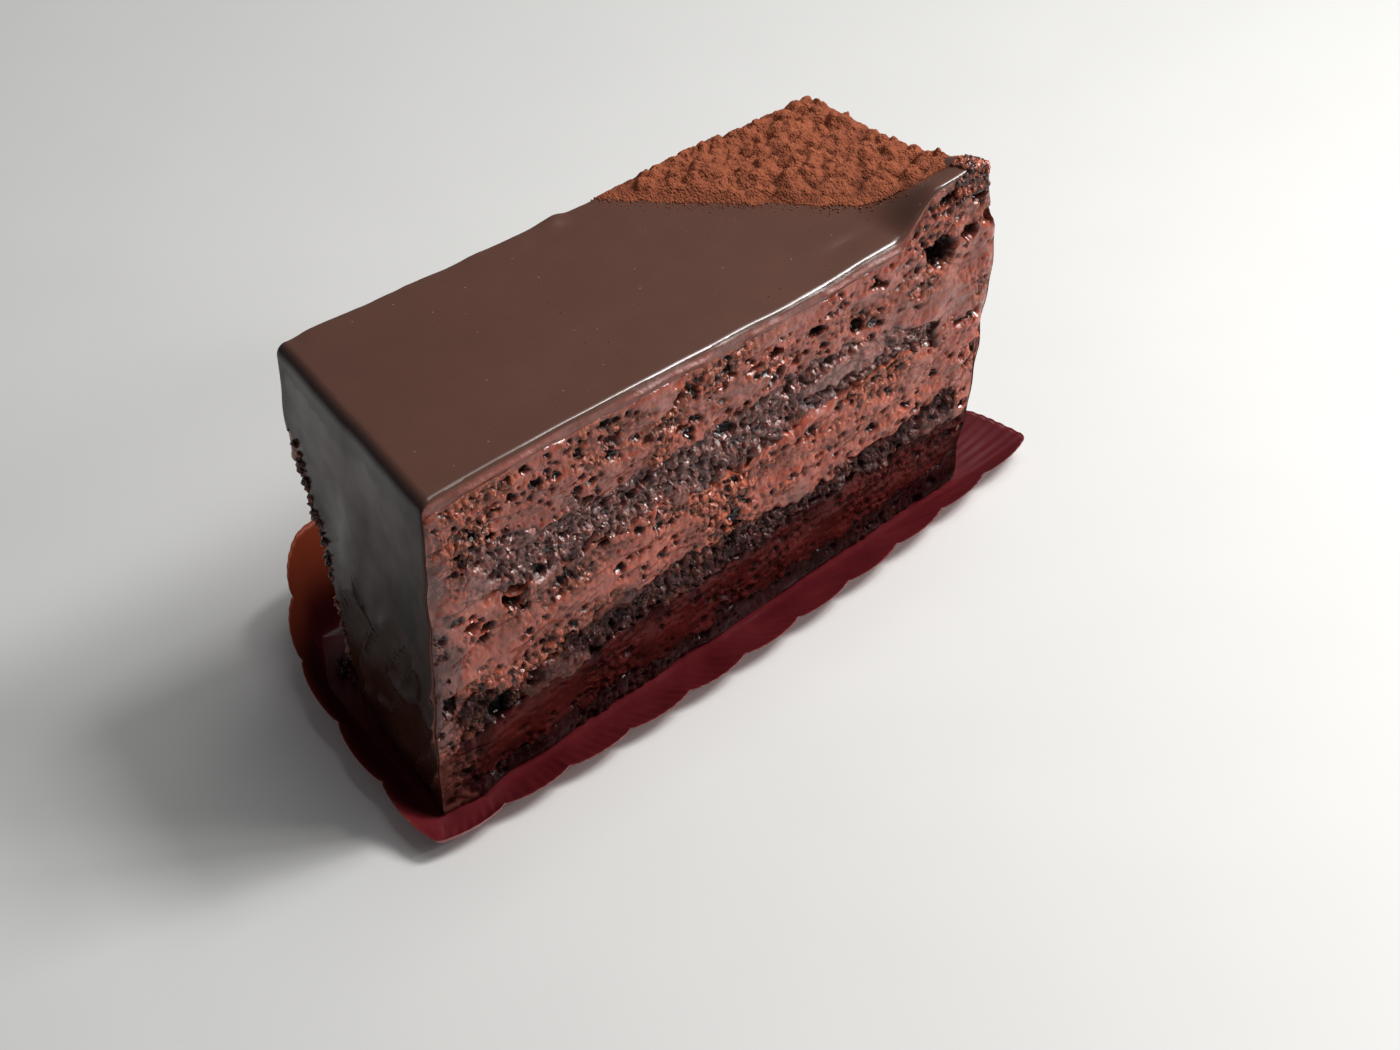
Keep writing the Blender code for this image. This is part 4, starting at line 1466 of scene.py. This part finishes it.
def paper_rings(floors, rims, outs, runs):
    """The underside's rings: flat ones out to the floor's edge, then pleated ones up to the rim."""
    count = len(floors)
    middle = floors.mean(axis=0)
    curve = LIP_CURVE + STEEP_TIP * ease(runs, 15.0, 7.0) * ease(runs, -1.0, 0.5)
    rings = [np.column_stack([mix(middle, floors, share), np.zeros(count)]) for share in FLOOR_RINGS]
    pleat = 0.16 * np.sin(runs * math.tau / PLEAT + 1.4 * swell(runs, 0.0, 4.0, 131))
    for share in np.linspace(0.0, 1.0, 20)[1:]:
        crease = 0.4 * swell(runs, 6.0 * share, 5.0, 132)
        push = ease(share, 0.05, 0.6) * (pleat + crease) * ease(share, 1.12, 0.9)
        spot = mix(rings[len(FLOOR_RINGS) - 1], rims, share)
        spot[:, 2] = np.maximum(rims[:, 2] * share**curve + 0.6 * push, 0.0)
        spot[:, :2] += outs * (0.5 * push)[:, None] * 0.6
        rings.append(spot)
    return np.stack(rings), middle


print(f"the rim has {sum(SCALLOPS)} scallops")

# %% The paper


def make_paper():
    """One closed sheet: the rings of the underside, the same ones a sheet higher, and two middles."""
    under, middle = paper_rings(*paper_loop(26))
    ring_count, count = under.shape[:2]
    over = under + np.array([0.0, 0.0, SHEET])
    centre = 2 * ring_count * count
    points = np.concatenate([
        under.reshape(-1, 3), over.reshape(-1, 3), [(*middle, 0.0), (*middle, SHEET)],
    ])
    index = np.arange(centre).reshape(2, ring_count, count)
    after = np.roll(index, -1, axis=2)
    quads = np.stack([index[:, :-1], index[:, 1:], after[:, 1:], after[:, :-1]], axis=-1)
    rim = np.stack([index[0, -1], after[0, -1], after[1, -1], index[1, -1]], axis=-1)
    quads = np.concatenate([quads[0].reshape(-1, 4)[:, ::-1], quads[1].reshape(-1, 4), rim])
    fan_under = np.stack([np.full(count, centre), after[0, 0], index[0, 0]], axis=-1)
    fan_over = np.stack([np.full(count, centre + 1), index[1, 0], after[1, 0]], axis=-1)
    faces = np.concatenate([quads[:, :3], quads[:, [0, 2, 3]], fan_under, fan_over])
    outside = np.zeros(len(points))
    outside[: ring_count * count] = outside[centre] = 1.0
    # The raised left lip: where the painted glow of light through the paper goes.
    lifted_glow = ease(points[:, 2], 2.5, 9.0) * ease(points[:, 0], 20.0, -20.0)
    made = make_object("paper_sheet", points, faces, paper_look, {"outside": outside, "lifted_glow": lifted_glow})
    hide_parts("paper_case")
    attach(made, "root")
    return report(made)


make_paper()

# %% [markdown]
# ## Floor and light
#
# The slice stands on a pale floor. A wide soft light high up gives the even sheen. Smaller ones
# stand lower on the cut's side: a small light keeps its power in a small place, so wet grains
# sparkle, and a near one lights its own end of the slice more. A pale world fills the rest.

# %% Floor, lights and world


# Name, azimuth, elevation, distance, size, power, colour.
LIGHTS = (
    ("overhead", 85.0, 68.0, 800.0, 520.0, 2.4, (1.0, 0.985, 0.96)),
    ("window", 62.0, 46.0, 420.0, 96.0, 1.12, (1.0, 0.99, 0.97)),
    ("lamp", 74.0, 57.0, 700.0, 110.0, 1.5, (1.0, 1.0, 1.0)),
    ("room", 46.0, 30.0, 420.0, 52.0, 0.34, (1.0, 0.97, 0.94)),
    ("glint", 40.0, 15.0, 420.0, 36.0, 0.13, (1.0, 1.0, 1.0)),
)
FLOOR_TONE = (0.62, 0.62, 0.61)
FLOOR_REACH = 1500.0
FLOOR_HEIGHT = -0.02


def make_floor():
    made, tree, shader = new_material("floor", FLOOR_TONE, Roughness=0.6)
    toned = use_group(tree, blotches, Color=FLOOR_TONE, Scale=14.0, Strength=0.03)
    feed(tree, shader.inputs["Base Color"], toned["Color"])
    corners = ((-1.0, -1.0), (1.0, -1.0), (1.0, 1.0), (-1.0, 1.0))
    points = np.array([(x * FLOOR_REACH, y * FLOOR_REACH, FLOOR_HEIGHT) for x, y in corners])
    plane = make_object("floor", points, np.array([[0, 1, 2, 3]]), made)
    return plane


def make_light(name, azimuth, elevation, distance, size, power, colour):
    """A square soft light that looks at the slice from a direction, with distances in millimetres."""
    data = bpy.data.lights.new(name, "AREA")
    data.size = size * MM
    data.energy = power
    data.color = colour
    made = bpy.data.objects.new(name, data)
    bpy.context.scene.collection.objects.link(made)
    away = direction(math.radians(azimuth), math.radians(elevation))
    made.location = (Vector((0.0, 0.0, 30.0)) + away * distance) * MM
    made.rotation_euler = away.to_track_quat("Z", "Y").to_euler()
    return made


def make_world():
    world = bpy.data.worlds.new("world")
    world.use_nodes = True
    shade = world.node_tree.nodes["Background"]
    shade.inputs["Color"].default_value = (0.92, 0.95, 1.0, 1.0)
    shade.inputs["Strength"].default_value = 0.13
    bpy.context.scene.world = world


floor = make_floor()
make_world()
lights = [make_light(*row) for row in LIGHTS]
bpy.context.scene.view_settings.view_transform = "Standard"
print("floor:", floor.name, "lights:", ", ".join(made.name for made in lights))
